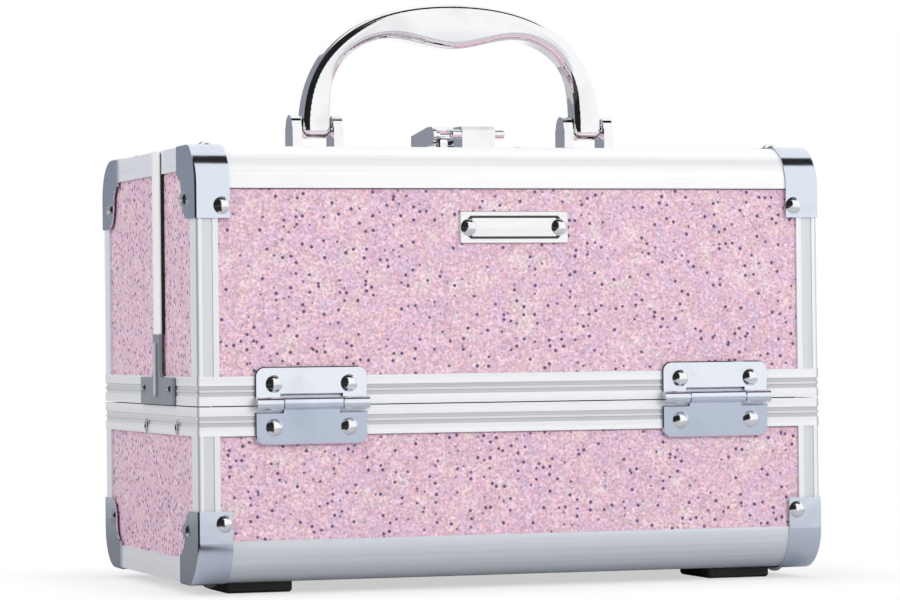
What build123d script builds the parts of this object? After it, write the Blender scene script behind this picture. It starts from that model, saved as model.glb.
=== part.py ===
from build123d import *
import os
from math import asin, atan2, degrees, hypot

os.makedirs("parts", exist_ok=True)

# Case envelope: X is the length, the front faces -Y, the feet stand on Z = 0
case_length = 240.0
case_depth = 150.0
base_height = 63.8
lid_height = 93.8
parting_gap = 0.4
foot_height = 4.0
front_lid_depth = 52.0
seam_gap = 0.6

# Walls: a panel with metal profiles standing proud of it
panel_thickness = 4.0
skin_thickness = 1.0
edge_radius = 15.0
edge_leg = 15.7
corner_relief = 0.2
base_liner_thickness = 1.0
lid_liner_thickness = 0.7
post_front_width = 8.2
post_end_width = 9.0
post_corner_radius = 1.0
post_groove_width = 4.0
post_groove_depth = 0.4
end_strip_width = 8.6

# Rims clipped over the panel edges at the parting line
rim_height = 10.5
rim_web = 1.5
rim_lip_height = 8.0
rim_groove_height = 3.8
rim_groove_depth = 0.4
rim_bead_height = 0.8
mitre_gap = 0.2

# Pressed corner caps
cap_thickness = 0.6
cap_front_width = 12.5
cap_reach = 26.5
cap_arm = 10.3
cap_cheek = 19.0
cap_cheek_radius = 9.0
cap_concave_radius = 7.0
cap_fold_radius = 1.0
cap_rivet_inset = 9.5
cap_rivet_drop = 22.0
cap_end_rivet_inset = 15.6
cap_end_rivet_drop = 19.3

# Rivets
rivet_radius = 3.15
rivet_height = 1.7
small_rivet_radius = 2.1
small_rivet_height = 1.2

# Feet
foot_length = 25.0
foot_depth = 30.0
foot_end_inset = 14.0
foot_edge_gap = 0.5
foot_edge_chamfer = 0.8
foot_screw_radius = 1.5
foot_screw_head_radius = 3.2
foot_screw_head_height = 1.8
screw_clearance = 0.1

# Hinges between the base and each lid
hinge_spacing = 156.0
hinge_width = 42.0
hinge_leaf_height = 13.8
hinge_leaf_thickness = 1.2
hinge_corner_radius = 3.5
hinge_axis_offset = 2.6
hinge_axis_rise = 1.0
knuckle_radius = 2.35
knuckle_middle_length = 21.6
knuckle_gap = 0.5
knuckle_relief = 0.8
hinge_edge_chamfer = 0.4
hinge_pin_radius = 1.1
running_clearance = 0.05
hinge_rivet_spacing = 28.0
hinge_rivet_height = 7.6

# Name plate on the front lid
name_plate_width = 41.8
name_plate_height = 11.7
name_plate_thickness = 1.2
name_plate_corner = 0.7
name_plate_edge_chamfer = 0.3
name_plate_drop = 30.0
name_plate_rivet_spacing = 35.0
name_plate_border = 1.6
name_plate_border_chamfer = 2.4
name_plate_line = 0.9
name_plate_line_depth = 0.3

# Seam strip round the rear lid's open edge, and the guide plates at its feet
seam_strip_width = 10.4
seam_strip_proud = 1.2
guide_gap = 0.3
guide_thickness = 1.0
guide_height = 26.0
guide_stem_width = 10.5
guide_ear_span = 50.8
guide_ear_height = 10.0
guide_corner_radius = 3.0
guide_ridge_width = 3.0
guide_ridge_height = 0.8
guide_ear_rivet_spacing = 40.0

# Carrying handle and its brackets on the rear lid
handle_spacing = 109.2
handle_axis_rise = 11.3
handle_rise = 47.4
handle_grip_thickness = 17.0
handle_hump_rise = 33.9
handle_hump_inset = 20.4
handle_bend_rise = 25.0
handle_bend_inset = 4.9
handle_leg_width = 11.6
handle_leg_depth = 11.0
handle_grip_depth = 17.0
handle_shoulder_rise = 28.0
handle_edge_radius = 3.2
handle_end_drop = 4.3
handle_end_radius = 3.4
handle_pin_radius = 2.0
bracket_gap = 12.6
bracket_ear_thickness = 3.7
bracket_ear_depth = 11.0
bracket_ear_reach = 4.8
bracket_plate_length = 44.0
bracket_plate_depth = 14.0
bracket_plate_thickness = 2.4
bracket_rivet_spacing = 34.8

# Draw latch along the top of the case: catch, base, hook and lever
catch_plate_length = 41.0
catch_plate_depth = 11.0
catch_plate_thickness = 1.4
catch_centre_from_seam = 6.0
catch_block_width = 13.0
catch_block_depth = 11.0
catch_block_height = 10.3
catch_pocket_width = 9.2
catch_pocket_height = 6.4
catch_pocket_depth = 7.0
catch_roof = 1.4
catch_bar_length = 21.2
catch_bar_radius = 1.8
catch_bar_end_radius = 0.7
catch_bar_rise = 7.3
catch_rivet_spacing = 33.6
latch_plate_width = 24.0
latch_plate_length = 36.0
latch_plate_thickness = 1.4
latch_cheek_gap = 10.0
latch_cheek_thickness = 1.5
latch_rail_length = 17.0
latch_cheek_radius = 2.4
latch_pivot_rise = 8.2
latch_pivot_from_seam = 22.4
latch_pin_radius = 1.2
hook_width = 7.0
hook_thickness = 1.5
hook_rise = 4.4
hook_engagement = 2.5
hook_tail = 5.0
hook_corner_radius = 2.0
lever_side_gap = 0.3
lever_thickness = 1.2
lever_eye_radius = 3.8
lever_top_start = 1.5
lever_shoulder = 5.0
lever_back_reach = 26.0
lever_tail_rise = 1.4
lever_tail_height = 5.0

# Trays that swing out with the lids: places are counted from the lid's hinge axis
tray_wall = 1.6
tray_floor = 1.8
tray_corner_radius = 5.0
tray_front_gap = 12.5
front_tray_depth = 38.0
rear_tray_depth = 77.0
lower_tray_rise = 11.0
lower_tray_height = 19.0
upper_tray_rise = 41.0
upper_tray_height = 24.0
tray_dividers = 2
front_lower_pivot = (21.0, 21.0)
front_upper_pivot = (33.0, 50.0)
rear_lower_pivot = (22.0, 20.0)
rear_upper_pivot = (43.0, 50.0)
arm_offset = (13.0, 2.0)
arm_thickness = 1.0
arm_half_width = 4.0
arm_bracket_thickness = 1.0
arm_bracket_height = 10.0
arm_bracket_drop = 8.7
pivot_plate_thickness = 1.0
pivot_radius = 2.0
layer_gap = 0.3
eyelet_spots = (-45.2, 3.3)
eyelet_radius = 2.6
eyelet_bore = 1.2
eyelet_height = 0.8

# Places worked out from the sizes above
half_length = case_length / 2
half_depth = case_depth / 2
wall = panel_thickness + skin_thickness
bottom_z = foot_height
base_top = bottom_z + base_height
lid_bottom = base_top + parting_gap
lid_top = lid_bottom + lid_height
seat_z = lid_top - skin_thickness
seam_front = front_lid_depth - half_depth
seam_rear = seam_front + seam_gap
seam_strip_y = seam_rear + seam_strip_width / 2
inner_radius = edge_radius - wall
hinge_y = half_depth + hinge_axis_offset
hinge_z = base_top + hinge_axis_rise
corners = [(1, -1), (-1, -1), (1, 1), (-1, 1)]
handle_z = seat_z + handle_axis_rise
latch_pivot_y = seam_rear + latch_pivot_from_seam
latch_pivot_z = seat_z + latch_pivot_rise

# Layers between an end wall and the tray ends, counted outward from the middle
bracket_out = half_length - wall - base_liner_thickness
bracket_in = bracket_out - arm_bracket_thickness
arm_out = bracket_in - layer_gap
arm_in = arm_out - arm_thickness
tray_end = arm_in - layer_gap
plate_out = half_length - wall - lid_liner_thickness
plate_in = plate_out - pivot_plate_thickness
pivot_tip = tray_end - tray_wall


def slab(x_span, y_span, z_span):
    """Flat board between two limits on each axis"""
    with BuildPart() as board:
        with Locations((sum(x_span) / 2, sum(y_span) / 2, sum(z_span) / 2)):
            Box(x_span[1] - x_span[0], y_span[1] - y_span[0], z_span[1] - z_span[0])
    return board.part


def ordered(first, second):
    """Two limits with the lower one first"""
    return (min(first, second), max(first, second))


def save(part, name):
    """Label a finished piece and write it under its own name"""
    part.label = name
    export_step(part, f"parts/{name}.step")


def dome_rivets(seats, radius=rivet_radius, height=rivet_height):
    """Domed rivet heads, one on each seat plane"""
    ball = (radius**2 + height**2) / (2 * height)
    latitude = degrees(asin((ball - height) / ball))
    with BuildPart() as heads:
        with Locations(*[seat.offset(height - ball) for seat in seats]):
            Sphere(ball, arc_size1=latitude, arc_size2=90, align=None)
    return heads.part


def edge_profile(side, face_z, inward):
    """Rounded long-edge extrusion: a quarter ring with two short straight legs"""
    outer_y = side * half_depth
    inner_y = side * (half_depth - wall)
    turn_y = side * (half_depth - edge_radius)
    butt_y = side * (half_depth - edge_leg)
    with BuildPart() as profile:
        with BuildSketch(Plane.YZ.offset(-half_length)):
            with BuildLine():
                outer_leg = Line(
                    (outer_y, face_z + inward * edge_leg), (outer_y, face_z + inward * edge_radius)
                )
                outer_arc = TangentArc(outer_leg @ 1, (turn_y, face_z), tangent=outer_leg % 1)
                face_leg = Line(outer_arc @ 1, (butt_y, face_z))
                butt = Line(face_leg @ 1, (butt_y, face_z + inward * wall))
                back_leg = Line(butt @ 1, (turn_y, face_z + inward * wall))
                inner_arc = TangentArc(
                    back_leg @ 1, (inner_y, face_z + inward * edge_radius), tangent=back_leg % 1
                )
                inner_leg = Line(inner_arc @ 1, (inner_y, face_z + inward * edge_leg))
                Line(inner_leg @ 1, outer_leg @ 0)
            make_face()
        extrude(amount=case_length)
    return profile.part


def corner_posts(low_z, high_z, places):
    """Upright corner angles with lips over the front and end panels and a grooved face"""
    with BuildPart() as posts:
        for along, across in places:
            with BuildSketch(Plane.XY.offset(low_z)):
                with Locations((along * (half_length - wall / 2), across * (half_depth - wall / 2))):
                    Rectangle(wall, wall)
                with Locations(
                    (along * (half_length - post_front_width / 2), across * (half_depth - skin_thickness / 2))
                ):
                    Rectangle(post_front_width, skin_thickness)
                with Locations(
                    (along * (half_length - skin_thickness / 2), across * (half_depth - post_end_width / 2))
                ):
                    Rectangle(skin_thickness, post_end_width)
                groove_x = along * (half_length - post_front_width / 2)
                groove_y = across * (half_depth - post_groove_depth / 2)
                with Locations((groove_x, groove_y)):
                    Rectangle(post_groove_width, post_groove_depth, mode=Mode.SUBTRACT)
                fillet(
                    vertices().sort_by_distance((along * half_length, across * half_depth))[0],
                    post_corner_radius,
                )
            extrude(amount=high_z - low_z)
    return posts.part


def rim_frame(open_z, inward, lip_thickness, y_span):
    """Mitred channel clipped over the panel edges, trimmed to a stretch of the depth"""

    def ring(outer_inset, inner_inset):
        Rectangle(case_length - 2 * outer_inset, case_depth - 2 * outer_inset)
        Rectangle(case_length - 2 * inner_inset, case_depth - 2 * inner_inset, mode=Mode.SUBTRACT)

    lip_inset = wall + lip_thickness
    groove_start = (rim_height - rim_groove_height) / 2
    bead_start = (rim_height - rim_bead_height) / 2
    with BuildPart() as frame:
        with BuildSketch(Plane.XY.offset(open_z)):
            ring(0, skin_thickness)
        extrude(amount=inward * rim_height)
        with BuildSketch(Plane.XY.offset(open_z)):
            ring(0, wall)
        extrude(amount=inward * rim_web)
        with BuildSketch(Plane.XY.offset(open_z)):
            ring(wall, lip_inset)
        extrude(amount=inward * rim_lip_height)
        with BuildSketch(Plane.XY.offset(open_z + inward * groove_start)):
            ring(0, rim_groove_depth)
        extrude(amount=inward * rim_groove_height, mode=Mode.SUBTRACT)
        with BuildSketch(Plane.XY.offset(open_z + inward * bead_start)):
            ring(0, rim_groove_depth)
        extrude(amount=inward * rim_bead_height)
        for along, across in corners:
            with Locations(
                Location((along * half_length, across * half_depth, open_z), (0, 0, 45 * along * across))
            ):
                Box(4 * lip_inset, mitre_gap, 3 * rim_height, mode=Mode.SUBTRACT)
        with Locations((0, sum(y_span) / 2, open_z)):
            Box(2 * case_length, y_span[1] - y_span[0], 3 * rim_height, mode=Mode.INTERSECT)
    return frame.part


def rounded_end(y_span, z_span, rounded):
    """End panels whose listed corners follow the rounded long edges"""
    with BuildPart() as ends:
        with BuildSketch(Plane.YZ.offset(half_length - wall)):
            with Locations((sum(y_span) / 2, sum(z_span) / 2)):
                Rectangle(y_span[1] - y_span[0], z_span[1] - z_span[0])
            for spot in rounded:
                fillet(vertices().sort_by_distance(spot)[0], inner_radius + corner_relief)
        extrude(amount=panel_thickness)
        mirror(about=Plane.YZ)
    return ends.part


def lining(y_span, z_span, rounded, thickness, open_y, open_z):
    """Thin lining against the inner faces, open on the sides that the reach values name"""
    reach = 2 * thickness
    inner_y = (y_span[0] + thickness - open_y[0] * reach, y_span[1] - thickness + open_y[1] * reach)
    inner_z = (z_span[0] + thickness - open_z[0] * reach, z_span[1] - thickness + open_z[1] * reach)
    half_room = half_length - wall
    with BuildPart() as skin:
        with BuildSketch(Plane.YZ.offset(-half_room)):
            with Locations((sum(y_span) / 2, sum(z_span) / 2)):
                Rectangle(y_span[1] - y_span[0], z_span[1] - z_span[0])
            for spot in rounded:
                fillet(vertices().sort_by_distance(spot)[0], inner_radius + corner_relief)
        extrude(amount=2 * half_room)
        with BuildSketch(Plane.YZ.offset(thickness - half_room)):
            with Locations((sum(inner_y) / 2, sum(inner_z) / 2)):
                Rectangle(inner_y[1] - inner_y[0], inner_z[1] - inner_z[0])
            for spot in rounded:
                fillet(vertices().sort_by_distance(spot)[0], inner_radius + corner_relief - thickness)
        extrude(amount=2 * (half_room - thickness), mode=Mode.SUBTRACT)
    return skin.part


def end_edges(y_span, face_z, inward):
    """Angle strips along the edges where an end wall meets the floor or the top"""
    y_middle = sum(y_span) / 2
    y_length = y_span[1] - y_span[0]
    with BuildPart() as strips:
        with Locations((half_length - skin_thickness / 2, y_middle, face_z + inward * end_strip_width / 2)):
            Box(skin_thickness, y_length, end_strip_width)
        with Locations((half_length - end_strip_width / 2, y_middle, face_z + inward * skin_thickness / 2)):
            Box(end_strip_width, y_length, skin_thickness)
        mirror(about=Plane.YZ)
    return strips.part


def front_right_cap(face_z, inward):
    """Pressed corner cap for the front right corner, on the floor or the top face"""
    front = -half_depth
    size = cap_reach + cap_thickness
    middle = (cap_reach - cap_thickness) / 2
    outer_corner = (front - cap_thickness, face_z - inward * cap_thickness)
    arm = cap_arm + cap_thickness
    arm_middle = (cap_arm - cap_thickness) / 2
    cheek = cap_cheek + cap_thickness
    cheek_middle = (cap_cheek - cap_thickness) / 2
    with BuildPart() as cap:
        with BuildSketch(Plane.YZ.offset(half_length - cap_front_width)):
            with Locations((front + middle, face_z + inward * middle)):
                Rectangle(size, size)
            fillet(vertices().sort_by_distance(outer_corner)[0], edge_radius + cap_thickness)
            with BuildSketch(mode=Mode.SUBTRACT):
                with Locations((front + cap_reach, face_z + inward * cap_reach)):
                    Rectangle(2 * cap_reach, 2 * cap_reach)
                fillet(vertices().sort_by_distance((front, face_z))[0], edge_radius)
        extrude(amount=cap_front_width)
        with BuildSketch(Plane.YZ.offset(half_length)):
            with Locations((front + cheek_middle, face_z + inward * middle)):
                Rectangle(cheek, size)
            with Locations((front + middle, face_z + inward * arm_middle)):
                Rectangle(size, arm)
            inside = (front + cap_cheek, face_z + inward * cap_arm)
            fillet(vertices().sort_by_distance(inside)[0], cap_concave_radius)
            cheek_end = (front + cap_cheek, face_z + inward * cap_reach)
            fillet(vertices().sort_by_distance(cheek_end)[0], cap_cheek_radius)
            fillet(vertices().sort_by_distance(outer_corner)[0], edge_radius + cap_thickness)
        extrude(amount=cap_thickness)
        end_outline = edges().group_by(Axis.X)[-1]
        fold = end_outline.sort_by_distance((half_length + cap_thickness, *outer_corner))[:3]
        fillet(fold, cap_fold_radius)
    return cap.part


def cap_rivet_seats(face_z, inward):
    """Seats of the front right cap's three rivets"""
    front = Plane(
        (half_length - cap_rivet_inset, -half_depth - cap_thickness, face_z + inward * cap_rivet_drop),
        z_dir=(0, -1, 0),
    )
    face = Plane(
        (half_length - cap_rivet_inset, cap_rivet_drop - half_depth, face_z - inward * cap_thickness),
        z_dir=(0, 0, -inward),
    )
    end = Plane(
        (half_length + cap_thickness, cap_end_rivet_inset - half_depth, face_z + inward * cap_end_rivet_drop),
        z_dir=(1, 0, 0),
    )
    return [front, face, end]


def hinge_seats(height):
    """Rivet seats on one leaf of each front hinge"""
    y = -half_depth - hinge_leaf_thickness
    spots = [
        (centre * hinge_spacing / 2 + offset * hinge_rivet_spacing / 2, y, height)
        for centre in (-1, 1)
        for offset in (-1, 1)
    ]
    return [Plane(spot, z_dir=(0, -1, 0)) for spot in spots]


def hinge_leaves(low_z, high_z, rounded_z, knuckles, notch_spans, notch_z):
    """Front hinge leaves with their knuckles, relieved round the other leaf's knuckles"""
    with BuildPart() as leaves:
        with BuildSketch(Plane.XZ.offset(half_depth)):
            with Locations((hinge_spacing / 2, (low_z + high_z) / 2)):
                Rectangle(hinge_width, high_z - low_z)
            for end in (-1, 1):
                spot = (hinge_spacing / 2 + end * hinge_width / 2, rounded_z)
                fillet(vertices().sort_by_distance(spot)[0], hinge_corner_radius)
            for start, stop in notch_spans:
                with Locations((hinge_spacing / 2 + (start + stop) / 2, sum(notch_z) / 2)):
                    Rectangle(stop - start, notch_z[1] - notch_z[0], mode=Mode.SUBTRACT)
        extrude(amount=hinge_leaf_thickness)
        chamfer(faces().sort_by(Axis.Y)[0].edges(), hinge_edge_chamfer)
        for start, stop in knuckles:
            with BuildSketch(Plane.YZ.offset(hinge_spacing / 2 + start)):
                with Locations((-hinge_y, hinge_z)):
                    Circle(knuckle_radius)
            extrude(amount=stop - start)
        with BuildSketch(Plane.YZ.offset(hinge_spacing / 2 - hinge_width)):
            with Locations((-hinge_y, hinge_z)):
                Circle(hinge_pin_radius + running_clearance)
        extrude(amount=2 * hinge_width, mode=Mode.SUBTRACT)
        mirror(about=Plane.YZ)
    return leaves.part


def lid_place(side, spot):
    """Depth and height of a point counted inward and upward from a lid's hinge axis"""
    return (side * (hinge_y - spot[0]), hinge_z + spot[1])


def beyond(spot):
    """The arm's point that stands one arm offset inside a lid's point"""
    return (spot[0] + arm_offset[0], spot[1] + arm_offset[1])


def tray(side, rise, height, depth, pivot):
    """Open tray with rounded long edges, fixed dividers and four pivot holes"""
    y_span = ordered(side * (hinge_y - tray_front_gap), side * (hinge_y - tray_front_gap - depth))
    low_z = hinge_z + rise
    cell = (2 * tray_end - (tray_dividers + 2) * tray_wall) / (tray_dividers + 1)
    with BuildPart() as box:
        with BuildSketch(Plane.YZ.offset(-tray_end)):
            with Locations((sum(y_span) / 2, low_z + height / 2)):
                Rectangle(depth, height)
            fillet(vertices().group_by(Axis.Y)[0], tray_corner_radius)
        extrude(amount=2 * tray_end)
        for number in range(tray_dividers + 1):
            start = tray_wall - tray_end + number * (cell + tray_wall)
            with BuildSketch(Plane.YZ.offset(start)):
                with Locations((sum(y_span) / 2, low_z + tray_floor + height / 2)):
                    Rectangle(depth - 2 * tray_wall, height)
                fillet(vertices().group_by(Axis.Y)[0], tray_corner_radius - tray_wall)
            extrude(amount=cell, mode=Mode.SUBTRACT)
        for spot in (pivot, beyond(pivot)):
            with BuildSketch(Plane.YZ.offset(-half_length)):
                with Locations(lid_place(side, spot)):
                    Circle(pivot_radius + running_clearance)
            extrude(amount=case_length, mode=Mode.SUBTRACT)
    return box.part


def bar_between(first, second, width):
    """Round-ended flat bar from one point of the sketch to another"""
    run = (second[0] - first[0], second[1] - first[1])
    with Locations(((first[0] + second[0]) / 2, (first[1] + second[1]) / 2)):
        SlotCenterToCenter(hypot(*run), width, rotation=degrees(atan2(run[1], run[0])))


def swing_arms(side, lower_pivot, upper_pivot):
    """Bent flat arms, one at each end, from the base bracket up to both trays"""
    foot = lid_place(side, arm_offset)
    knee = lid_place(side, beyond(lower_pivot))
    head = lid_place(side, beyond(upper_pivot))
    with BuildPart() as arms:
        with BuildSketch(Plane.YZ.offset(arm_in)):
            bar_between(foot, knee, 2 * arm_half_width)
            bar_between(knee, head, 2 * arm_half_width)
            with Locations(foot):
                Circle(pivot_radius + running_clearance, mode=Mode.SUBTRACT)
        extrude(amount=arm_thickness)
        with BuildSketch(Plane.YZ.offset(pivot_tip)):
            with Locations(knee, head):
                Circle(pivot_radius)
        extrude(amount=arm_in - pivot_tip)
        mirror(about=Plane.YZ)
    return arms.part


def tray_pivots(side, lower_pivot, upper_pivot):
    """Strips on the lid's end linings with the pins that carry the trays"""
    lower = lid_place(side, lower_pivot)
    upper = lid_place(side, upper_pivot)
    with BuildPart() as pivots:
        with BuildSketch(Plane.YZ.offset(plate_in)):
            bar_between(lower, upper, 2 * arm_half_width)
        extrude(amount=pivot_plate_thickness)
        with BuildSketch(Plane.YZ.offset(pivot_tip)):
            with Locations(lower, upper):
                Circle(pivot_radius)
        extrude(amount=plate_in - pivot_tip)
        mirror(about=Plane.YZ)
    return pivots.part


# Base: floor, walls and lining
panel_half = half_length - wall
long_panel_x = (-panel_half, panel_half)
front_panel_y = (-half_depth + skin_thickness, -half_depth + wall)
rear_panel_y = (half_depth - wall, half_depth - skin_thickness)
room_y = (wall - half_depth, half_depth - wall)
base_panel_z = (bottom_z + edge_leg, base_top - rim_web)
floor_y = (edge_leg - half_depth, half_depth - edge_leg)
foot_spots = [
    (
        along * (half_length - foot_end_inset - foot_length / 2),
        across * (half_depth - edge_leg - foot_edge_gap - foot_depth / 2),
    )
    for along, across in corners
]

with BuildPart() as base_floor_panel:
    add(slab(
        (skin_thickness - half_length, half_length - skin_thickness),
        floor_y,
        (bottom_z + skin_thickness, bottom_z + wall),
    ))
    with BuildSketch(Plane.XY):
        with Locations(*foot_spots):
            Circle(foot_screw_radius + screw_clearance)
    extrude(amount=bottom_z + 2 * wall, mode=Mode.SUBTRACT)
save(base_floor_panel.part, "base_floor_panel")

save(slab(long_panel_x, front_panel_y, base_panel_z), "base_front_panel")
save(slab(long_panel_x, rear_panel_y, base_panel_z), "base_rear_panel")
floor_corners = [(room_y[0], bottom_z + wall), (room_y[1], bottom_z + wall)]
save(rounded_end(room_y, (bottom_z + wall, base_top - rim_web), floor_corners), "base_end_panels")
save(
    lining(
        room_y,
        (bottom_z + wall, base_top - rim_lip_height),
        floor_corners,
        base_liner_thickness,
        (0, 0),
        (0, 1),
    ),
    "base_liner",
)

# Base: profiles, posts and rim
save(edge_profile(-1, bottom_z, 1), "base_front_edge")
save(edge_profile(1, bottom_z, 1), "base_rear_edge")
save(end_edges(floor_y, bottom_z, 1), "base_end_edges")
save(corner_posts(bottom_z + edge_leg, base_top - rim_height, corners), "base_corner_posts")
save(rim_frame(base_top, -1, base_liner_thickness, (-case_depth, case_depth)), "base_rim")

# Base: corner caps and every rivet that the base carries
base_cap = front_right_cap(bottom_z, 1)
with BuildPart() as base_corner_caps:
    add(base_cap)
    mirror(about=Plane.YZ)
    mirror(about=Plane.XZ)
save(base_corner_caps.part, "base_corner_caps")

with BuildPart() as base_rivets:
    add(dome_rivets(cap_rivet_seats(bottom_z, 1)))
    mirror(about=Plane.YZ)
    add(dome_rivets(hinge_seats(base_top - hinge_rivet_height)))
    mirror(about=Plane.XZ)
save(base_rivets.part, "base_rivets")

# Feet with the screws that hold them under the floor
with BuildPart() as rubber_feet:
    for spot in foot_spots:
        with BuildSketch(Plane.XY):
            with Locations(spot):
                Rectangle(foot_length, foot_depth)
            fillet(vertices(), 2 * foot_edge_chamfer)
        extrude(amount=bottom_z + skin_thickness)
    chamfer(faces().group_by(Axis.Z)[0].edges(), foot_edge_chamfer)
    with Locations(*[Location((x, y, 0), (180, 0, 0)) for x, y in foot_spots]):
        CounterBoreHole(
            foot_screw_radius + screw_clearance,
            foot_screw_head_radius + screw_clearance,
            foot_screw_head_height + screw_clearance,
            depth=2 * foot_height,
        )
save(rubber_feet.part, "rubber_feet")

with BuildPart() as foot_screws:
    for spot in foot_spots:
        with BuildSketch(Plane.XY.offset(screw_clearance)):
            with Locations(spot):
                Circle(foot_screw_head_radius)
        extrude(amount=foot_screw_head_height)
        with BuildSketch(Plane.XY.offset(screw_clearance)):
            with Locations(spot):
                Circle(foot_screw_radius)
        extrude(amount=bottom_z + wall - screw_clearance)
save(foot_screws.part, "foot_screws")

# Base: brackets inside the ends that carry the swing arms, with their eyelets
strip_z = hinge_z - arm_bracket_drop
front_foot = lid_place(-1, arm_offset)
rear_foot = lid_place(1, arm_offset)
strip_inset = arm_bracket_height / 2 - arm_half_width
with BuildPart() as arm_brackets:
    with BuildSketch(Plane.YZ.offset(bracket_in)):
        bar_between(
            (front_foot[0] + strip_inset, strip_z), (rear_foot[0] - strip_inset, strip_z), arm_bracket_height
        )
        for foot in (front_foot, rear_foot):
            bar_between((foot[0], strip_z), foot, 2 * arm_half_width)
    extrude(amount=arm_bracket_thickness)
    with BuildSketch(Plane.YZ.offset(arm_in)):
        with Locations(front_foot, rear_foot):
            Circle(pivot_radius)
    extrude(amount=bracket_in - arm_in)
    mirror(about=Plane.YZ)
save(arm_brackets.part, "arm_brackets")

with BuildPart() as bracket_eyelets:
    for spot in eyelet_spots:
        with BuildSketch(Plane.YZ.offset(half_length)):
            with Locations((spot, strip_z)):
                Circle(eyelet_radius)
                Circle(eyelet_bore, mode=Mode.SUBTRACT)
        extrude(amount=eyelet_height)
    chamfer(edges().filter_by(GeomType.CIRCLE).group_by(Axis.X)[-1], eyelet_height / 2)
    mirror(about=Plane.YZ)
save(bracket_eyelets.part, "bracket_eyelets")

# Hinges: leaves on the base carry the middle knuckles, leaves on the lids the outer ones
middle = knuckle_middle_length / 2
outer_start = middle + knuckle_gap
half_hinge = hinge_width / 2
relief = knuckle_radius + knuckle_relief
base_leaves = hinge_leaves(
    base_top - hinge_leaf_height,
    base_top,
    base_top - hinge_leaf_height,
    [(-middle, middle)],
    [(-half_hinge - knuckle_gap, -middle), (middle, half_hinge + knuckle_gap)],
    (hinge_z - relief, hinge_z + relief),
)
lid_leaves = hinge_leaves(
    lid_bottom,
    lid_bottom + hinge_leaf_height,
    lid_bottom + hinge_leaf_height,
    [(-half_hinge, -outer_start), (outer_start, half_hinge)],
    [(-outer_start, outer_start)],
    (hinge_z - relief, hinge_z + relief),
)
save(base_leaves, "front_hinge_base_leaves")
save(lid_leaves, "front_hinge_lid_leaves")
with BuildPart() as rear_hinge_base_leaves:
    mirror(base_leaves, about=Plane.XZ)
save(rear_hinge_base_leaves.part, "rear_hinge_base_leaves")
with BuildPart() as rear_hinge_lid_leaves:
    mirror(lid_leaves, about=Plane.XZ)
save(rear_hinge_lid_leaves.part, "rear_hinge_lid_leaves")

with BuildPart() as hinge_pins:
    with BuildSketch(Plane.YZ.offset(hinge_spacing / 2 - half_hinge)):
        with Locations((-hinge_y, hinge_z)):
            Circle(hinge_pin_radius)
    extrude(amount=hinge_width)
    mirror(about=Plane.YZ)
    mirror(about=Plane.XZ)
save(hinge_pins.part, "hinge_pins")

# Front lid: panels, lining, profiles and rim
lid_panel_z = (lid_bottom + rim_web, lid_top - edge_leg)
lid_end_z = (lid_bottom + rim_web, lid_top - wall)
lid_lining_z = (lid_bottom + rim_lip_height, lid_top - wall)
top_z = (lid_top - wall, lid_top - skin_thickness)
top_x = (skin_thickness - half_length, half_length - skin_thickness)
front_room_y = (room_y[0], seam_front)
front_top_y = (floor_y[0], seam_front)
front_crown = [(room_y[0], lid_top - wall)]
save(slab(long_panel_x, front_panel_y, lid_panel_z), "front_lid_front_panel")
save(slab(top_x, front_top_y, top_z), "front_lid_top_panel")
save(rounded_end(front_room_y, lid_end_z, front_crown), "front_lid_end_panels")
save(
    lining(front_room_y, lid_lining_z, front_crown, lid_liner_thickness, (0, 1), (1, 0)), "front_lid_liner"
)
save(edge_profile(-1, lid_top, -1), "front_lid_top_edge")
save(end_edges(front_top_y, lid_top, -1), "front_lid_end_edges")
save(
    corner_posts(lid_bottom + rim_height, lid_top - edge_leg, corners[:2]), "front_lid_corner_posts"
)
save(rim_frame(lid_bottom, 1, lid_liner_thickness, (-case_depth, seam_front)), "front_lid_rim")

# Front lid: caps, rivets, name plate, tray pivots and latch catch
lid_cap = front_right_cap(lid_top, -1)
with BuildPart() as front_lid_corner_caps:
    add(lid_cap)
    mirror(about=Plane.YZ)
save(front_lid_corner_caps.part, "front_lid_corner_caps")

catch_y = seam_front - catch_centre_from_seam
catch_rivet_z = seat_z + catch_plate_thickness
name_plate_z = lid_top - name_plate_drop
name_plate_y = skin_thickness - half_depth - name_plate_thickness
with BuildPart() as front_lid_rivets:
    add(dome_rivets(cap_rivet_seats(lid_top, -1)))
    mirror(about=Plane.YZ)
    add(dome_rivets(hinge_seats(lid_bottom + hinge_rivet_height)))
    add(dome_rivets(
        [Plane((side * catch_rivet_spacing / 2, catch_y, catch_rivet_z)) for side in (-1, 1)],
    ))
    add(dome_rivets(
        [
            Plane((side * name_plate_rivet_spacing / 2, name_plate_y, name_plate_z), z_dir=(0, -1, 0))
            for side in (-1, 1)
        ]
    ))
save(front_lid_rivets.part, "front_lid_rivets")

with BuildPart() as name_plate:
    with BuildSketch(Plane.XZ.offset(-name_plate_y - name_plate_thickness)):
        with Locations((0, name_plate_z)):
            RectangleRounded(name_plate_width, name_plate_height, name_plate_corner)
    extrude(amount=name_plate_thickness)
    chamfer(faces().sort_by(Axis.Y)[0].edges(), name_plate_edge_chamfer)
    with BuildSketch(Plane.XZ.offset(-name_plate_y - name_plate_line_depth)):
        with Locations((0, name_plate_z)):
            Rectangle(name_plate_width - 2 * name_plate_border, name_plate_height - 2 * name_plate_border)
            chamfer(vertices(), name_plate_border_chamfer)
            inner_border = name_plate_border + name_plate_line
            with BuildSketch(mode=Mode.SUBTRACT):
                with Locations((0, name_plate_z)):
                    Rectangle(name_plate_width - 2 * inner_border, name_plate_height - 2 * inner_border)
                chamfer(vertices(), name_plate_border_chamfer)
    extrude(amount=name_plate_thickness, mode=Mode.SUBTRACT)
save(name_plate.part, "name_plate")

save(tray_pivots(-1, front_lower_pivot, front_upper_pivot), "front_tray_pivots")

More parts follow.
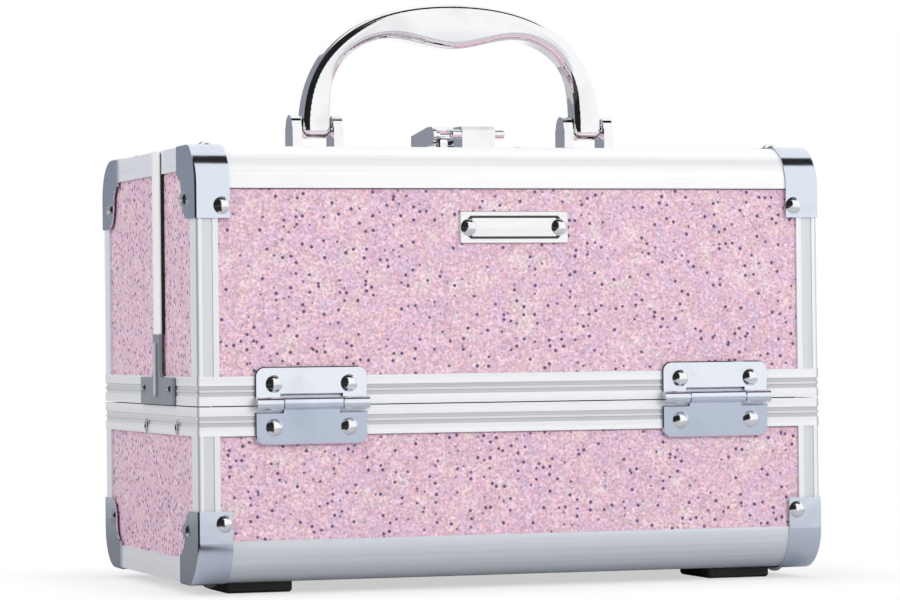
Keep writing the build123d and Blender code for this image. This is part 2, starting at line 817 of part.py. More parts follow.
block_top = seat_z + catch_block_height
block_rear = catch_y + catch_block_depth / 2
block_front = catch_y - catch_block_depth / 2
with BuildPart() as latch_catch:
    with BuildSketch(Plane.XY.offset(seat_z)):
        with Locations((0, catch_y)):
            RectangleRounded(catch_plate_length, catch_plate_depth, small_rivet_radius)
    extrude(amount=catch_plate_thickness)
    with BuildSketch(Plane.XY.offset(seat_z)):
        with Locations((0, catch_y)):
            Rectangle(catch_block_width, catch_block_depth)
    extrude(amount=catch_block_height)
    chamfer(edges().group_by(Axis.Z)[-1].sort_by(Axis.Y)[0], catch_roof)
    with BuildSketch(Plane.XZ.offset(-block_rear)):
        with Locations((0, block_top - catch_roof - catch_pocket_height / 2)):
            Rectangle(catch_pocket_width, catch_pocket_height)
    extrude(amount=catch_pocket_depth, mode=Mode.SUBTRACT)
    with BuildPart(mode=Mode.PRIVATE) as catch_bar:
        with BuildSketch(Plane.YZ.offset(-catch_bar_length / 2)):
            with Locations((block_front + catch_roof + catch_bar_radius / 3, seat_z + catch_bar_rise)):
                Circle(catch_bar_radius)
        extrude(amount=catch_bar_length)
        fillet(edges().filter_by(GeomType.CIRCLE), catch_bar_end_radius)
    add(catch_bar.part)
save(latch_catch.part, "latch_catch")

# Rear lid: panels, lining, profiles and rim
rear_room_y = (seam_rear, room_y[1])
rear_top_y = (seam_rear, floor_y[1])
rear_edge_y = (seam_rear + seam_strip_width, floor_y[1])
rear_crown = [(room_y[1], lid_top - wall)]
save(slab(long_panel_x, rear_panel_y, lid_panel_z), "rear_lid_rear_panel")
save(slab(top_x, rear_top_y, top_z), "rear_lid_top_panel")
save(rounded_end(rear_room_y, lid_end_z, rear_crown), "rear_lid_end_panels")
save(lining(rear_room_y, lid_lining_z, rear_crown, lid_liner_thickness, (1, 0), (1, 0)), "rear_lid_liner")
save(edge_profile(1, lid_top, -1), "rear_lid_top_edge")
save(end_edges(rear_edge_y, lid_top, -1), "rear_lid_end_edges")
save(
    corner_posts(lid_bottom + rim_height, lid_top - edge_leg, corners[2:]), "rear_lid_corner_posts"
)
save(rim_frame(lid_bottom, 1, lid_liner_thickness, (seam_rear, case_depth)), "rear_lid_rim")

with BuildPart() as rear_lid_corner_caps:
    mirror(front_lid_corner_caps.part, about=Plane.XZ)
save(rear_lid_corner_caps.part, "rear_lid_corner_caps")

# Rear lid: strips round the seam, and the guide plates below them
strip_thickness = skin_thickness + seam_strip_proud
strip_low = lid_bottom + guide_height
with BuildPart() as seam_strips:
    with BuildSketch(Plane.XY.offset(strip_low)):
        with Locations((half_length - skin_thickness + strip_thickness / 2, seam_strip_y)):
            Rectangle(strip_thickness, seam_strip_width)
        fillet(vertices().group_by(Axis.X)[-1], skin_thickness)
    extrude(amount=lid_top - strip_low)
    mirror(about=Plane.YZ)
    with Locations((0, seam_strip_y, lid_top - skin_thickness / 2)):
        Box(2 * (half_length - skin_thickness - mitre_gap), seam_strip_width, skin_thickness)
save(seam_strips.part, "seam_strips")

guide_x = half_length + guide_gap
guide_rivet_z = lid_bottom + guide_ear_height - rivet_radius - skin_thickness
with BuildPart() as lid_guide_plates:
    with BuildSketch(Plane.YZ.offset(guide_x)):
        with Locations((seam_strip_y, lid_bottom + guide_height / 2)):
            Rectangle(guide_stem_width, guide_height)
        with Locations((seam_strip_y, lid_bottom + guide_ear_height / 2)):
            Rectangle(guide_ear_span, guide_ear_height)
        for side in (-1, 1):
            inside = (seam_strip_y + side * guide_stem_width / 2, lid_bottom + guide_ear_height)
            fillet(vertices().sort_by_distance(inside)[0], guide_corner_radius)
    extrude(amount=guide_thickness)
    with BuildSketch(Plane.YZ.offset(guide_x + guide_thickness)):
        with Locations((seam_strip_y, lid_bottom + guide_height / 2)):
            SlotOverall(guide_height - 2 * guide_corner_radius, guide_ridge_width, rotation=90)
    extrude(amount=guide_ridge_height)
    mirror(about=Plane.YZ)
save(lid_guide_plates.part, "lid_guide_plates")

# Rear lid: handle brackets and every rivet that the lid carries
bracket_top = seat_z + bracket_plate_thickness
ear_offset = (bracket_gap + bracket_ear_thickness) / 2
with BuildPart() as handle_brackets:
    with BuildSketch(Plane.XY.offset(seat_z)):
        with Locations((handle_spacing / 2, 0)):
            SlotOverall(bracket_plate_length, bracket_plate_depth)
    extrude(amount=bracket_plate_thickness)
    for end in (-1, 1):
        ear_start = handle_spacing / 2 + end * ear_offset - bracket_ear_thickness / 2
        with BuildSketch(Plane.YZ.offset(ear_start)):
            with Locations((0, (seat_z + handle_z) / 2)):
                Rectangle(bracket_ear_depth, handle_z - seat_z)
            with Locations((0, handle_z)):
                Circle(bracket_ear_reach)
            with Locations((0, handle_z)):
                Circle(handle_pin_radius + running_clearance, mode=Mode.SUBTRACT)
        extrude(amount=bracket_ear_thickness)
    mirror(about=Plane.YZ)
save(handle_brackets.part, "handle_brackets")

latch_plate_start = seam_rear + seam_strip_width + seam_gap
latch_plate_y = (latch_plate_start, latch_plate_start + latch_plate_length)
latch_rivet_x = latch_plate_width / 2 - small_rivet_radius
guide_face = guide_x + guide_thickness
with BuildPart() as rear_lid_rivets:
    add(dome_rivets(cap_rivet_seats(lid_top, -1)))
    mirror(about=Plane.XZ, mode=Mode.REPLACE)
    add(dome_rivets([
        Plane((guide_face, seam_strip_y + side * guide_ear_rivet_spacing / 2, guide_rivet_z), z_dir=(1, 0, 0))
        for side in (-1, 1)
    ], small_rivet_radius, small_rivet_height))
    mirror(about=Plane.YZ)
    with BuildPart(mode=Mode.PRIVATE) as rear_hinge_rivets:
        mirror(dome_rivets(hinge_seats(lid_bottom + hinge_rivet_height)), about=Plane.XZ)
    add(rear_hinge_rivets.part)
    add(dome_rivets([
        Plane((bracket * handle_spacing / 2 + side * bracket_rivet_spacing / 2, 0, bracket_top))
        for bracket in (-1, 1)
        for side in (-1, 1)
    ]))
    add(dome_rivets([
        Plane((side * latch_rivet_x, y, seat_z + latch_plate_thickness))
        for side in (-1, 1)
        for y in (latch_plate_y[0] + small_rivet_radius, latch_plate_y[1] - small_rivet_radius)
    ], small_rivet_radius, small_rivet_height))
save(rear_lid_rivets.part, "rear_lid_rivets")

save(tray_pivots(1, rear_lower_pivot, rear_upper_pivot), "rear_tray_pivots")

# Draw latch: base with cheeks, floor rail and pin
rail_top = seat_z + hook_rise - layer_gap
cheek_offset = (latch_cheek_gap + latch_cheek_thickness) / 2
with BuildPart() as latch_base:
    with BuildSketch(Plane.XY.offset(seat_z)):
        with Locations((0, sum(latch_plate_y) / 2)):
            RectangleRounded(latch_plate_width, latch_plate_length, small_rivet_radius)
    extrude(amount=latch_plate_thickness)
    with BuildSketch(Plane.XY.offset(seat_z)):
        with Locations((0, latch_pivot_y)):
            Rectangle(hook_width, latch_rail_length)
    extrude(amount=rail_top - seat_z)
    for end in (-1, 1):
        with BuildSketch(Plane.YZ.offset(end * cheek_offset - latch_cheek_thickness / 2)):
            with Locations((latch_pivot_y, (seat_z + latch_pivot_z) / 2)):
                Rectangle(2 * latch_cheek_radius, latch_pivot_z - seat_z)
            with Locations((latch_pivot_y, latch_pivot_z)):
                Circle(latch_cheek_radius)
        extrude(amount=latch_cheek_thickness)
    pin_half = latch_cheek_gap / 2 + latch_cheek_thickness + lever_side_gap + lever_thickness
    with BuildSketch(Plane.YZ.offset(-pin_half)):
        with Locations((latch_pivot_y, latch_pivot_z)):
            Circle(latch_pin_radius)
    extrude(amount=2 * pin_half)
save(latch_base.part, "latch_base")

hook_z = seat_z + hook_rise
hook_tip_y = block_rear - hook_engagement
hook_end_y = latch_pivot_y + hook_tail
with BuildPart() as latch_hook:
    with BuildSketch(Plane.XY.offset(hook_z)):
        with Locations((0, (hook_tip_y + hook_end_y) / 2)):
            Rectangle(hook_width, hook_end_y - hook_tip_y)
        fillet(vertices().group_by(Axis.Y)[0], hook_corner_radius)
    extrude(amount=hook_thickness)
save(latch_hook.part, "latch_hook")

lever_in = latch_cheek_gap / 2 + latch_cheek_thickness + lever_side_gap
lever_out = lever_in + lever_thickness
lever_front = latch_pivot_y - lever_eye_radius
lever_back = latch_pivot_y + lever_back_reach
lever_top = latch_pivot_z + lever_eye_radius
lever_low = latch_pivot_z - lever_eye_radius
lever_tail_z = latch_pivot_z + lever_tail_rise
lever_shoulder_y = latch_pivot_y + lever_shoulder
with BuildPart() as latch_lever:
    with BuildSketch(Plane.YZ.offset(-lever_out)):
        with BuildLine():
            eye = ThreePointArc(
                (latch_pivot_y, lever_top), (lever_front, latch_pivot_z), (latch_pivot_y, lever_low)
            )
            Polyline(
                eye @ 1,
                (lever_shoulder_y, lever_low),
                (lever_back, lever_tail_z - lever_tail_height),
                (lever_back, lever_tail_z),
                (lever_shoulder_y, lever_top),
                eye @ 0,
            )
        make_face()
    extrude(amount=2 * lever_out)
    plate_start = latch_pivot_y - lever_top_start
    with BuildSketch(Plane.YZ.offset(-lever_in)):
        with BuildLine():
            Polyline(
                (lever_front - lever_thickness, lever_low - lever_thickness),
                (lever_front - lever_thickness, lever_top + lever_thickness),
                (plate_start, lever_top + lever_thickness),
                (plate_start, lever_top - lever_thickness),
                (lever_shoulder_y, lever_top - lever_thickness),
                (lever_back + lever_thickness, lever_tail_z - lever_thickness),
                (lever_back + lever_thickness, lever_low - lever_thickness),
                close=True,
            )
        make_face()
    extrude(amount=2 * lever_in, mode=Mode.SUBTRACT)
    with BuildSketch(Plane.YZ.offset(-2 * lever_out)):
        with Locations((latch_pivot_y, latch_pivot_z)):
            Circle(latch_pin_radius + running_clearance)
    extrude(amount=4 * lever_out, mode=Mode.SUBTRACT)
save(latch_lever.part, "latch_lever")

# Handle: front outline crossed with a side outline that widens towards the grip
grip_top = handle_z + handle_rise
grip_under = grip_top - handle_grip_thickness
hump_z = handle_z + handle_hump_rise
shoulder_z = handle_z + handle_shoulder_rise
leg_out = handle_spacing / 2 + handle_leg_width / 2
leg_in = handle_spacing / 2 - handle_leg_width / 2
leg_end = handle_z - handle_end_drop
hump_x = leg_in - handle_hump_inset
bend_x = leg_in - handle_bend_inset
bend_z = handle_z + handle_bend_rise
with BuildPart() as handle:
    with BuildSketch(Plane.XZ.offset(-handle_grip_depth / 2)):
        with BuildLine():
            outside = Spline(
                (-leg_out, handle_z),
                (0, grip_top),
                (leg_out, handle_z),
                tangents=[(0.02, 1), (1, 0), (0.02, -1)],
                tangent_scalars=[1.2, 1.5, 1.2],
            )
            Line(outside @ 1, (leg_out, leg_end))
            Line((leg_out, leg_end), (leg_in, leg_end))
            Line((leg_in, leg_end), (leg_in, handle_z))
            inside = Spline(
                (leg_in, handle_z),
                (bend_x, bend_z),
                (hump_x, hump_z),
                (0, grip_under),
                (-hump_x, hump_z),
                (-bend_x, bend_z),
                (-leg_in, handle_z),
                tangents=[(0, 1), (0, -1)],
                tangent_scalars=[1.0, 1.0],
            )
            Line(inside @ 1, (-leg_in, leg_end))
            Line((-leg_in, leg_end), (-leg_out, leg_end))
            Line((-leg_out, leg_end), outside @ 0)
        make_face()
        fillet(vertices().group_by(Axis.Y)[0], handle_end_radius)
    extrude(amount=handle_grip_depth)
    with BuildSketch(Plane.YZ.offset(-case_length / 2)):
        with BuildLine():
            left = Spline(
                (-handle_leg_depth / 2, leg_end),
                (-handle_leg_depth / 2, shoulder_z - handle_end_drop),
                (-handle_grip_depth / 2, grip_top),
                tangents=[(0, 1), (-0.1, 1), (0, 1)],
            )
            Line(left @ 1, (handle_grip_depth / 2, grip_top))
            right = Spline(
                (handle_grip_depth / 2, grip_top),
                (handle_leg_depth / 2, shoulder_z - handle_end_drop),
                (handle_leg_depth / 2, leg_end),
                tangents=[(0, -1), (-0.1, -1), (0, -1)],
            )
            Line(right @ 1, left @ 0)
        make_face()
    extrude(amount=case_length, mode=Mode.INTERSECT)
    fillet(edges().filter_by(lambda edge: abs(edge.center().Y) > handle_leg_depth / 4), handle_edge_radius)
    with BuildSketch(Plane.YZ.offset(-half_length)):
        with Locations((0, handle_z)):
            Circle(handle_pin_radius + running_clearance)
    extrude(amount=case_length, mode=Mode.SUBTRACT)
save(handle.part, "handle")

pin_span = bracket_gap + 2 * bracket_ear_thickness
with BuildPart() as handle_pins:
    with BuildSketch(Plane.YZ.offset(handle_spacing / 2 - pin_span / 2)):
        with Locations((0, handle_z)):
            Circle(handle_pin_radius)
    extrude(amount=pin_span)
    mirror(about=Plane.YZ)
save(handle_pins.part, "handle_pins")

# Trays and swing arms
save(tray(-1, lower_tray_rise, lower_tray_height, front_tray_depth, front_lower_pivot), "front_lower_tray")
save(tray(-1, upper_tray_rise, upper_tray_height, front_tray_depth, front_upper_pivot), "front_upper_tray")
save(tray(1, lower_tray_rise, lower_tray_height, rear_tray_depth, rear_lower_pivot), "rear_lower_tray")
save(tray(1, upper_tray_rise, upper_tray_height, rear_tray_depth, rear_upper_pivot), "rear_upper_tray")
save(swing_arms(-1, front_lower_pivot, front_upper_pivot), "front_arms")
save(swing_arms(1, rear_lower_pivot, rear_upper_pivot), "rear_arms")
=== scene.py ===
import math

import bmesh
import bpy
from bpy.props import FloatProperty, FloatVectorProperty, PointerProperty
from mathutils import Matrix, Vector


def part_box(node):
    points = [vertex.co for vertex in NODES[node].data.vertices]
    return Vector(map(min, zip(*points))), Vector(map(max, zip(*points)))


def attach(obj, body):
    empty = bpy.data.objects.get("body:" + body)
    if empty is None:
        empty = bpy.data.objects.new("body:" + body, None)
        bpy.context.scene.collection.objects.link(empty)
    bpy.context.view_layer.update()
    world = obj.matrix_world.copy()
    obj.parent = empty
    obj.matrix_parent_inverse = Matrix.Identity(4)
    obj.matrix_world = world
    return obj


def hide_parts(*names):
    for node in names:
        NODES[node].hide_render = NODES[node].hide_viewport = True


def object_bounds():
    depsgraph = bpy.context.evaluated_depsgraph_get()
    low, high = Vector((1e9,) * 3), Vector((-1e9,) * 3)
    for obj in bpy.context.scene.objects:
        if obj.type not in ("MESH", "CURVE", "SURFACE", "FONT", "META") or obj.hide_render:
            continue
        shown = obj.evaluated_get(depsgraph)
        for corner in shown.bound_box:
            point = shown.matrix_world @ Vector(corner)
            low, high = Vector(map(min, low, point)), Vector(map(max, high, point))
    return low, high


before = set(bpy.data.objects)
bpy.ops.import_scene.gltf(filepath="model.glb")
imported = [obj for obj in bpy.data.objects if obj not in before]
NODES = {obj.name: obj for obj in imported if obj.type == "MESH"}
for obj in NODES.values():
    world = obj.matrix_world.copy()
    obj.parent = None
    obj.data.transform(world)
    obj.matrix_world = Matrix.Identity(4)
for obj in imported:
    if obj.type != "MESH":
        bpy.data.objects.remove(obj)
CAD_BOX = [list(corner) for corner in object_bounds()]

bl_info = {
    "name": "Glitter train case",
    "version": (1, 0, 0),
    "blender": (4, 5, 0),
    "location": "3D View > Sidebar > Train case",
    "description": "Finishes, soft linings and studio for a two-lid make-up train case",
    "category": "Object",
}

MM = 0.001
WHITE = (1.0, 1.0, 1.0, 1.0)

# Which pieces of the frame share a finish
GLITTER_PANELS = [
    "base_front_panel", "base_rear_panel", "base_end_panels",
    "front_lid_front_panel", "front_lid_top_panel", "front_lid_end_panels",
    "rear_lid_rear_panel", "rear_lid_top_panel", "rear_lid_end_panels",
]
BASE_EDGES = ["base_front_edge", "base_rear_edge"]
TOP_EDGES = ["front_lid_top_edge", "rear_lid_top_edge"]
RIM_PROFILES = ["base_rim", "front_lid_rim", "rear_lid_rim"]
UPRIGHT_PROFILES = ["base_corner_posts", "front_lid_corner_posts", "rear_lid_corner_posts"]
END_PROFILES = ["base_end_edges", "front_lid_end_edges", "rear_lid_end_edges"]
PRESSED_STEEL = [
    "base_corner_caps", "front_lid_corner_caps", "rear_lid_corner_caps", "arm_brackets",
    "front_arms", "rear_arms", "front_tray_pivots", "rear_tray_pivots",
]
GUIDE_PLATES = "lid_guide_plates"
LID_LEAVES = ["front_hinge_lid_leaves", "rear_hinge_lid_leaves"]
BASE_LEAVES = ["front_hinge_base_leaves", "rear_hinge_base_leaves"]
RIVETS_AND_PINS = [
    "base_rivets", "front_lid_rivets", "rear_lid_rivets", "bracket_eyelets",
    "hinge_pins", "handle_pins", "foot_screws",
]
CHROME_FITTINGS = ["handle", "handle_brackets", "latch_catch", "latch_base", "latch_hook", "latch_lever"]
TRAYS = ["front_lower_tray", "front_upper_tray", "rear_lower_tray", "rear_upper_tray"]
LININGS = {"base_liner": "base", "front_lid_liner": "front_lid", "rear_lid_liner": "rear_lid"}

# The base's rim gives the outline of the case: what lies this near to its long faces is on a long side
RIM_LOW, RIM_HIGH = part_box("base_rim")
SIDE_REACH = 6.0 * MM

# Glitter film: spans of a noise, or of a grain's own number, over which a tint sets in
WARM_BLOTCH = (0.50, 0.66)
COOL_BLOTCH = (0.34, 0.50)
VIOLET_DRIFT = (0.32, 0.48)
PALE_DRIFT = (0.50, 0.70)
PALE_GRAIN = (0.76, 0.98)
ROSY_GRAIN = (0.74, 0.97)
STROKE_NOISE = (0.30, 0.70)

# Glitter film: the least and the most that grains, strokes and sparks change it
GRAIN_TONES = (0.82, 1.14)
STROKE_TONES = (0.77, 1.17)
SPARK_STRENGTHS = (0.2, 0.9)
FILM_ROUGHNESS = (0.30, 0.60)
FILM_GLOSS = 0.28
GRAIN_TILT = 0.20

# Glitter film: full share of a flake's radius and of a painted lip shadow's width, and where each kind of
# flake starts
FLAKE_CORE = 0.5
JOINT_SHADOW_CORE = 0.3
SPARK_SHIFT = 0.31
MAUVE_SHIFT = 0.17
FLECK_SHIFT = 0.0

# Drawn metal: lines in a metre along and across the drawing, and what they change
ALONG_LINES = 25.0
ACROSS_LINES = 5200.0
LINE_NOISE = (0.3, 0.7)
STREAK_TONES = (0.95, 1.04)
SMOOTHER_LINE = 0.05
ROUGHER_LINE = 0.06

# Grooves of rims and posts, darkened with painted shade: depths of a groove, a long side and a corner,
# their tones, and the bead
GROOVE_DEPTH = 0.25 * MM
SIDE_DEPTH = 3 * GROOVE_DEPTH
CORNER_DEPTHS = (-4 * GROOVE_DEPTH, -2 * GROOVE_DEPTH)
CORNER_SHADE = 0.62
END_GROOVE_SHARE = 0.4
BEAD_HALF_WIDTH = 0.5 * MM
BEAD_SOFT_EDGE = 0.1 * MM

# Marks of use, and the tone of a plated piece under a smudge
SMUDGE_NOISE = (0.48, 0.72)
SMUDGE_TONE = 0.9
SCUFF_NOISE = (0.70, 0.76)
SCUFF_TURN = (0.5, 0.7, 0.9)
SCUFF_STRETCH = (90.0, 2600.0, 900.0)

# Moulded pieces: depth of the grain with the roughness, and the tone between its pebbles
TRAY_GRAIN = (0.08 * MM, 0.38)
FOOT_GRAIN = (0.2 * MM, 0.62)
FILM_GRAIN = (0.2 * MM, 0.55)
SHADOW_SEAL_GRAIN = (0.1 * MM, 0.7)
PEBBLE_TONE = 0.88

# Lining: how light its pile is, and the shades of weave and nap over which it sets in
PILE_LIGHT = 1.9
PILE_SPAN = (0.1, 0.5)

# Mesh work: points this near are one, flatter edges go, sharper ones are rounded, the dark shadow piece in
# the seam's by this share
WELD_GAP = 0.001 * MM
FLAT_ANGLE = math.radians(1.0)
SHARP_ANGLE = math.radians(30.0)
SHADOW_SEAL_EDGE_SHARE = 0.2

# Studio sides that only mirrors see: start, end and soft edge in degrees, and how light they are
DARK_TURN = (6.0, 96.0, 5.0)
DARK_CLIMB = (-90.0, 56.0, 8.0)
GREY_TURN = (100.0, 179.0, 4.0)
GREY_CLIMB = (-90.0, 46.0, 10.0)
ROOF_OVER = (66.0, 91.0, 3.0)
ROOF_CLIMB = (48.0, 90.0, 6.0)
DARK_LEVEL = 0.015
GREY_LEVEL = 0.34

# Floor: its width, its drop under the feet, its tone to the eye, and the studio's sides on it in mirrors
FLOOR_WIDTH = 24.0
FLOOR_DROP = 0.2 * MM
FLOOR_TONE = 0.93
FLOOR_SIDES_CENTRE = (-0.09, -0.06, 0.0)
FLOOR_SIDES_GAP = (15.0 * MM, 70.0 * MM)
DARK_FLOOR_LEVEL = 0.04
GREY_FLOOR_LEVEL = 0.45

# Lamps: where each one stands, and its width
KEY_LAMP = ((0.95, -2.25, 1.05), 1.0)
TOP_LAMP = ((0.1, -0.1, 1.7), 1.0)
FILL_LAMP = ((-1.6, 0.1, 0.9), 1.2)
LAMP_AIM = (0.0, 0.0, 0.1)


# Settings

def colour_property(name, description, default):
    return FloatVectorProperty(
        name=name, description=description, default=default, subtype="COLOR", size=3, min=0.0, max=1.0
    )


def size_property(name, description, default):
    return FloatProperty(
        name=name, description=description, default=default, unit="LENGTH", precision=5, min=0.0
    )


def share_property(name, description, default):
    return FloatProperty(
        name=name, description=description, default=default, subtype="FACTOR", min=0.0, max=1.0
    )


def power_property(name, description, default):
    return FloatProperty(name=name, description=description, default=default, unit="POWER")


def turn_property(name, description, degrees):
    return FloatProperty(
        name=name, description=description, default=math.radians(degrees), unit="ROTATION"
    )


class TrainCaseGlitter(bpy.types.PropertyGroup):
    """Colours and sizes of the glitter film on the panels"""

    pink: colour_property("Pink", "Main colour of the film", (0.815, 0.548, 0.665))
    peach: colour_property("Peach", "Warm blotches in the film", (0.86, 0.59, 0.62))
    lilac: colour_property("Lilac", "Cool blotches in the film", (0.72, 0.55, 0.75))
    rose: colour_property("Rose", "Deep grains in the film", (0.70, 0.37, 0.50))
    cream: colour_property("Cream", "Pale drifts in the film", (0.88, 0.77, 0.76))
    fleck: colour_property("Fleck", "Dark violet flakes", (0.150, 0.070, 0.160))
    navy: colour_property("Navy", "Dark blue flakes", (0.125, 0.085, 0.230))
    mauve: colour_property("Mauve", "Small half-dark flakes", (0.40, 0.19, 0.36))
    # Spark: near-white of the pale flakes, partly their own colour and partly a painted glint of the
    # glitter
    spark: colour_property("Spark", "Pale flakes", (0.98, 0.93, 0.97))
    # Painted shadow: colour of the shade under a profile's lip
    joint: colour_property("Joint", "Shadow in the joint under a profile's lip", (0.110, 0.075, 0.100))
    warm_share: share_property("Warm share", "Strength of the peach blotches", 0.7)
    cool_share: share_property("Cool share", "Strength of the lilac blotches", 0.5)
    violet_share: share_property("Violet share", "Strength of the lilac drifts", 0.5)
    cream_share: share_property("Cream share", "Strength of the pale drifts", 0.5)
    pale_share: share_property("Pale share", "Strength of the pale grains", 0.40)
    rose_share: share_property("Rose share", "Strength of the deep grains", 0.55)
    fleck_share: share_property("Fleck share", "Share of the cells that hold a dark flake", 0.49)
    mauve_share: share_property("Mauve share", "Share of the cells that hold a small flake", 0.38)
    spark_share: share_property("Spark share", "Share of the cells that hold a pale flake", 0.22)
    # Painted shadow under the profiles' lips: its strength under each lip, and its width
    top_joint_shadow: share_property("Top joint", "Shade of the joint under the lids' top edges", 0.85)
    rim_joint_shadow: share_property("Rim joint", "Shade of the joint under the base's rim", 0.5)
    joint_shadow_width: size_property("Joint width", "Width of the dark joint under a lip", 0.75 * MM)
    blotch_size: size_property("Blotch size", "Width of the colour blotches", 3.0 * MM)
    stroke_size: size_property("Stroke size", "Width of the light and dark strokes", 1.15 * MM)
    drift_size: size_property("Drift size", "Width of the pale drifts", 9.0 * MM)
    grain_size: size_property("Grain size", "Width of one grain of fine glitter", 0.75 * MM)
    fleck_pitch: size_property("Fleck pitch", "Mean spacing of the dark flakes in depth", 2.6 * MM)
    fleck_radius: size_property("Fleck radius", "Radius of a dark flake", 0.86 * MM)
    mauve_pitch: size_property("Mauve pitch", "Mean spacing of the small flakes in depth", 1.7 * MM)
    mauve_radius: size_property("Mauve radius", "Radius of a small flake", 0.55 * MM)
    spark_pitch: size_property("Spark pitch", "Mean spacing of the pale flakes in depth", 2.0 * MM)
    spark_radius: size_property("Spark radius", "Radius of a pale flake", 0.55 * MM)


class TrainCaseMetal(bpy.types.PropertyGroup):
    """Colours and gloss of the metals"""

    profile: colour_property("Profile", "Satin edges along the top", (0.965, 0.970, 0.985))
    edge: colour_property("Edge", "Satin edges along the base", (0.865, 0.900, 0.940))
    channel: colour_property("Channel", "Satin rims", (0.935, 0.945, 0.968))
    post: colour_property("Post", "Satin posts and end strips", (0.920, 0.940, 0.985))
    strip: colour_property("Strip", "Pale strips round the seam", (0.955, 0.950, 0.960))
    profile_mirror: share_property("Profile mirror", "How much the profiles mirror", 0.34)
    edge_mirror: share_property("Edge mirror", "How much the base's long edges mirror", 0.74)
    strip_mirror: share_property("Strip mirror", "How much the seam strips mirror", 0.05)
    steel: colour_property("Steel", "Plated pressed steel", (0.735, 0.787, 0.885))
    guide: colour_property("Guide", "Dull guide plates", (0.30, 0.325, 0.365))
    # The rib's lighter colour is a painted highlight
    rib_highlight: colour_property("Rubbed", "Guide plate's rib, rubbed bright", (0.64, 0.67, 0.72))
    leaf: colour_property("Leaf", "Plated hinge leaves", (0.81, 0.85, 0.92))
    # The lower leaves' bluer colour is a painted reflection tint on the same plated steel
    low_leaf_painted_tint: colour_property("Low leaf", "Plated lower hinge leaves", (0.80, 0.865, 0.990))
    chrome: colour_property("Chrome", "Bright chrome plate", (0.93, 0.935, 0.945))
    plate: colour_property("Name plate", "Brushed name plate", (0.93, 0.93, 0.94))
    line: colour_property("Line", "Paint in the name plate's engraved line", (0.045, 0.045, 0.050))
    # Painted shade deep in the rims' and posts' grooves and on the rims' bead
    rim_groove_shade: share_property("Rim dull", "Tone deep in the rims' grooves", 0.66)
    bead_shade: share_property("Bead dull", "Tone of the bead in the rims' grooves", 0.84)
    post_groove_shade: share_property("Post dull", "Tone deep in the posts' grooves", 0.80)
    profile_roughness: share_property("Profile roughness", "Mean roughness of the profiles", 0.40)
    plate_roughness: share_property("Plate roughness", "Mean roughness of the name plate", 0.30)
    guide_roughness: share_property("Guide roughness", "Mean roughness of the guide plates", 0.34)
    steel_roughness: share_property("Steel roughness", "Mean roughness of the pressed steel", 0.14)
    steel_wave: share_property("Steel wave", "How uneven the pressed steel is", 0.30)
    plated_wave: share_property("Plated wave", "How uneven the other plated pieces are", 0.02)
    leaf_roughness: share_property("Leaf roughness", "Mean roughness of the hinge leaves", 0.10)
    leaf_lean: share_property("Leaf lean", "How far the lower hinge leaves lean down", 0.10)
    rivet_roughness: share_property("Rivet roughness", "Mean roughness of the rivets", 0.12)
    chrome_roughness: share_property("Chrome roughness", "Mean roughness of the chrome", 0.05)


class TrainCaseInside(bpy.types.PropertyGroup):
    """Colours of the lining, the trays and the feet"""

    lining: colour_property("Lining", "Short-pile lining cloth", (0.055, 0.052, 0.058))
    tray: colour_property("Tray", "Moulded trays", (0.84, 0.58, 0.65))
    rubber: colour_property("Rubber", "Moulded feet", (0.018, 0.018, 0.019))
    film: colour_property("Film", "Film under the floor", (0.050, 0.050, 0.055))
    # Painted shade: a black strip in the seam that stands in for the shadow in the seam's gap
    shadow_seal: colour_property("Seal", "Rubber seal along the seam", (0.020, 0.020, 0.022))
    thread_size: size_property("Thread size", "Width of one thread of the lining", 0.45 * MM)
    lining_edge: size_property("Lining edge", "Rounding of the lining's edges", 0.25 * MM)
    shadow_seal_thickness: size_property("Seal thickness", "Thickness of the seam seal", 0.45 * MM)
    shadow_seal_width: size_property("Seal width", "Width of the seam seal", 1.8 * MM)
    shadow_seal_set_back: size_property("Seal set-back", "How far the seal lies below the strips", 0.9 * MM)
    shadow_seal_gap: size_property("Seal gap", "Gap between the seal and the strips", 0.05 * MM)
    grain_size: size_property("Grain size", "Width of the moulded grain", 0.7 * MM)


class TrainCaseStudio(bpy.types.PropertyGroup):
    """Camera, lamps and floor"""

    camera_place: FloatVectorProperty(
        name="Camera place",
        description="Where the camera stands",
        default=(-0.4471, -1.3936, 0.0922),
        subtype="TRANSLATION",
        unit="LENGTH",
        size=3,
    )
    camera_turn: turn_property("Camera turn", "Turn about the vertical", -17.75)
    camera_tilt: turn_property("Camera tilt", "Tilt above the level", 0.55)
    camera_roll: turn_property("Camera roll", "Turn about the line of sight", -0.62)
    lens: FloatProperty(name="Lens", description="Focal length in millimetres", default=151.96, min=10.0)
    ambient: FloatProperty(name="Ambient", description="Strength of the room's light", default=0.8, min=0.0)
    key_power: power_property("Key", "Power of the key lamp", 21.5)
    top_power: power_property("Top", "Power of the top lamp", 1.2)
    fill_power: power_property("Fill", "Power of the left lamp", 9.0)
    floor_lift: share_property("Floor lift", "How much the shadow under the case is lifted", 0.58)
    floor_clear: size_property("Floor clear", "Gap to the case where the floor is white", 0.055)
    mirror_fade: size_property("Mirror fade", "Gap where a mirrored floor starts to turn white", 0.25)
    mirror_clear: size_property("Mirror clear", "Gap where a mirrored floor is white", 1.05)
    floor_mirror: share_property("Mirrored floor", "How light the near floor is in mirrors", 0.59)
    floor_bounce: share_property("Floor bounce", "How much light the floor throws back", 0.60)
    wall_tint: colour_property("Wall tint", "Tint of the studio's grey side in mirrors", (0.80, 0.86, 1.0))
    floor_tint: colour_property("Floor tint", "Tint of the near floor in mirrors", (0.92, 0.95, 1.0))


# Nodes

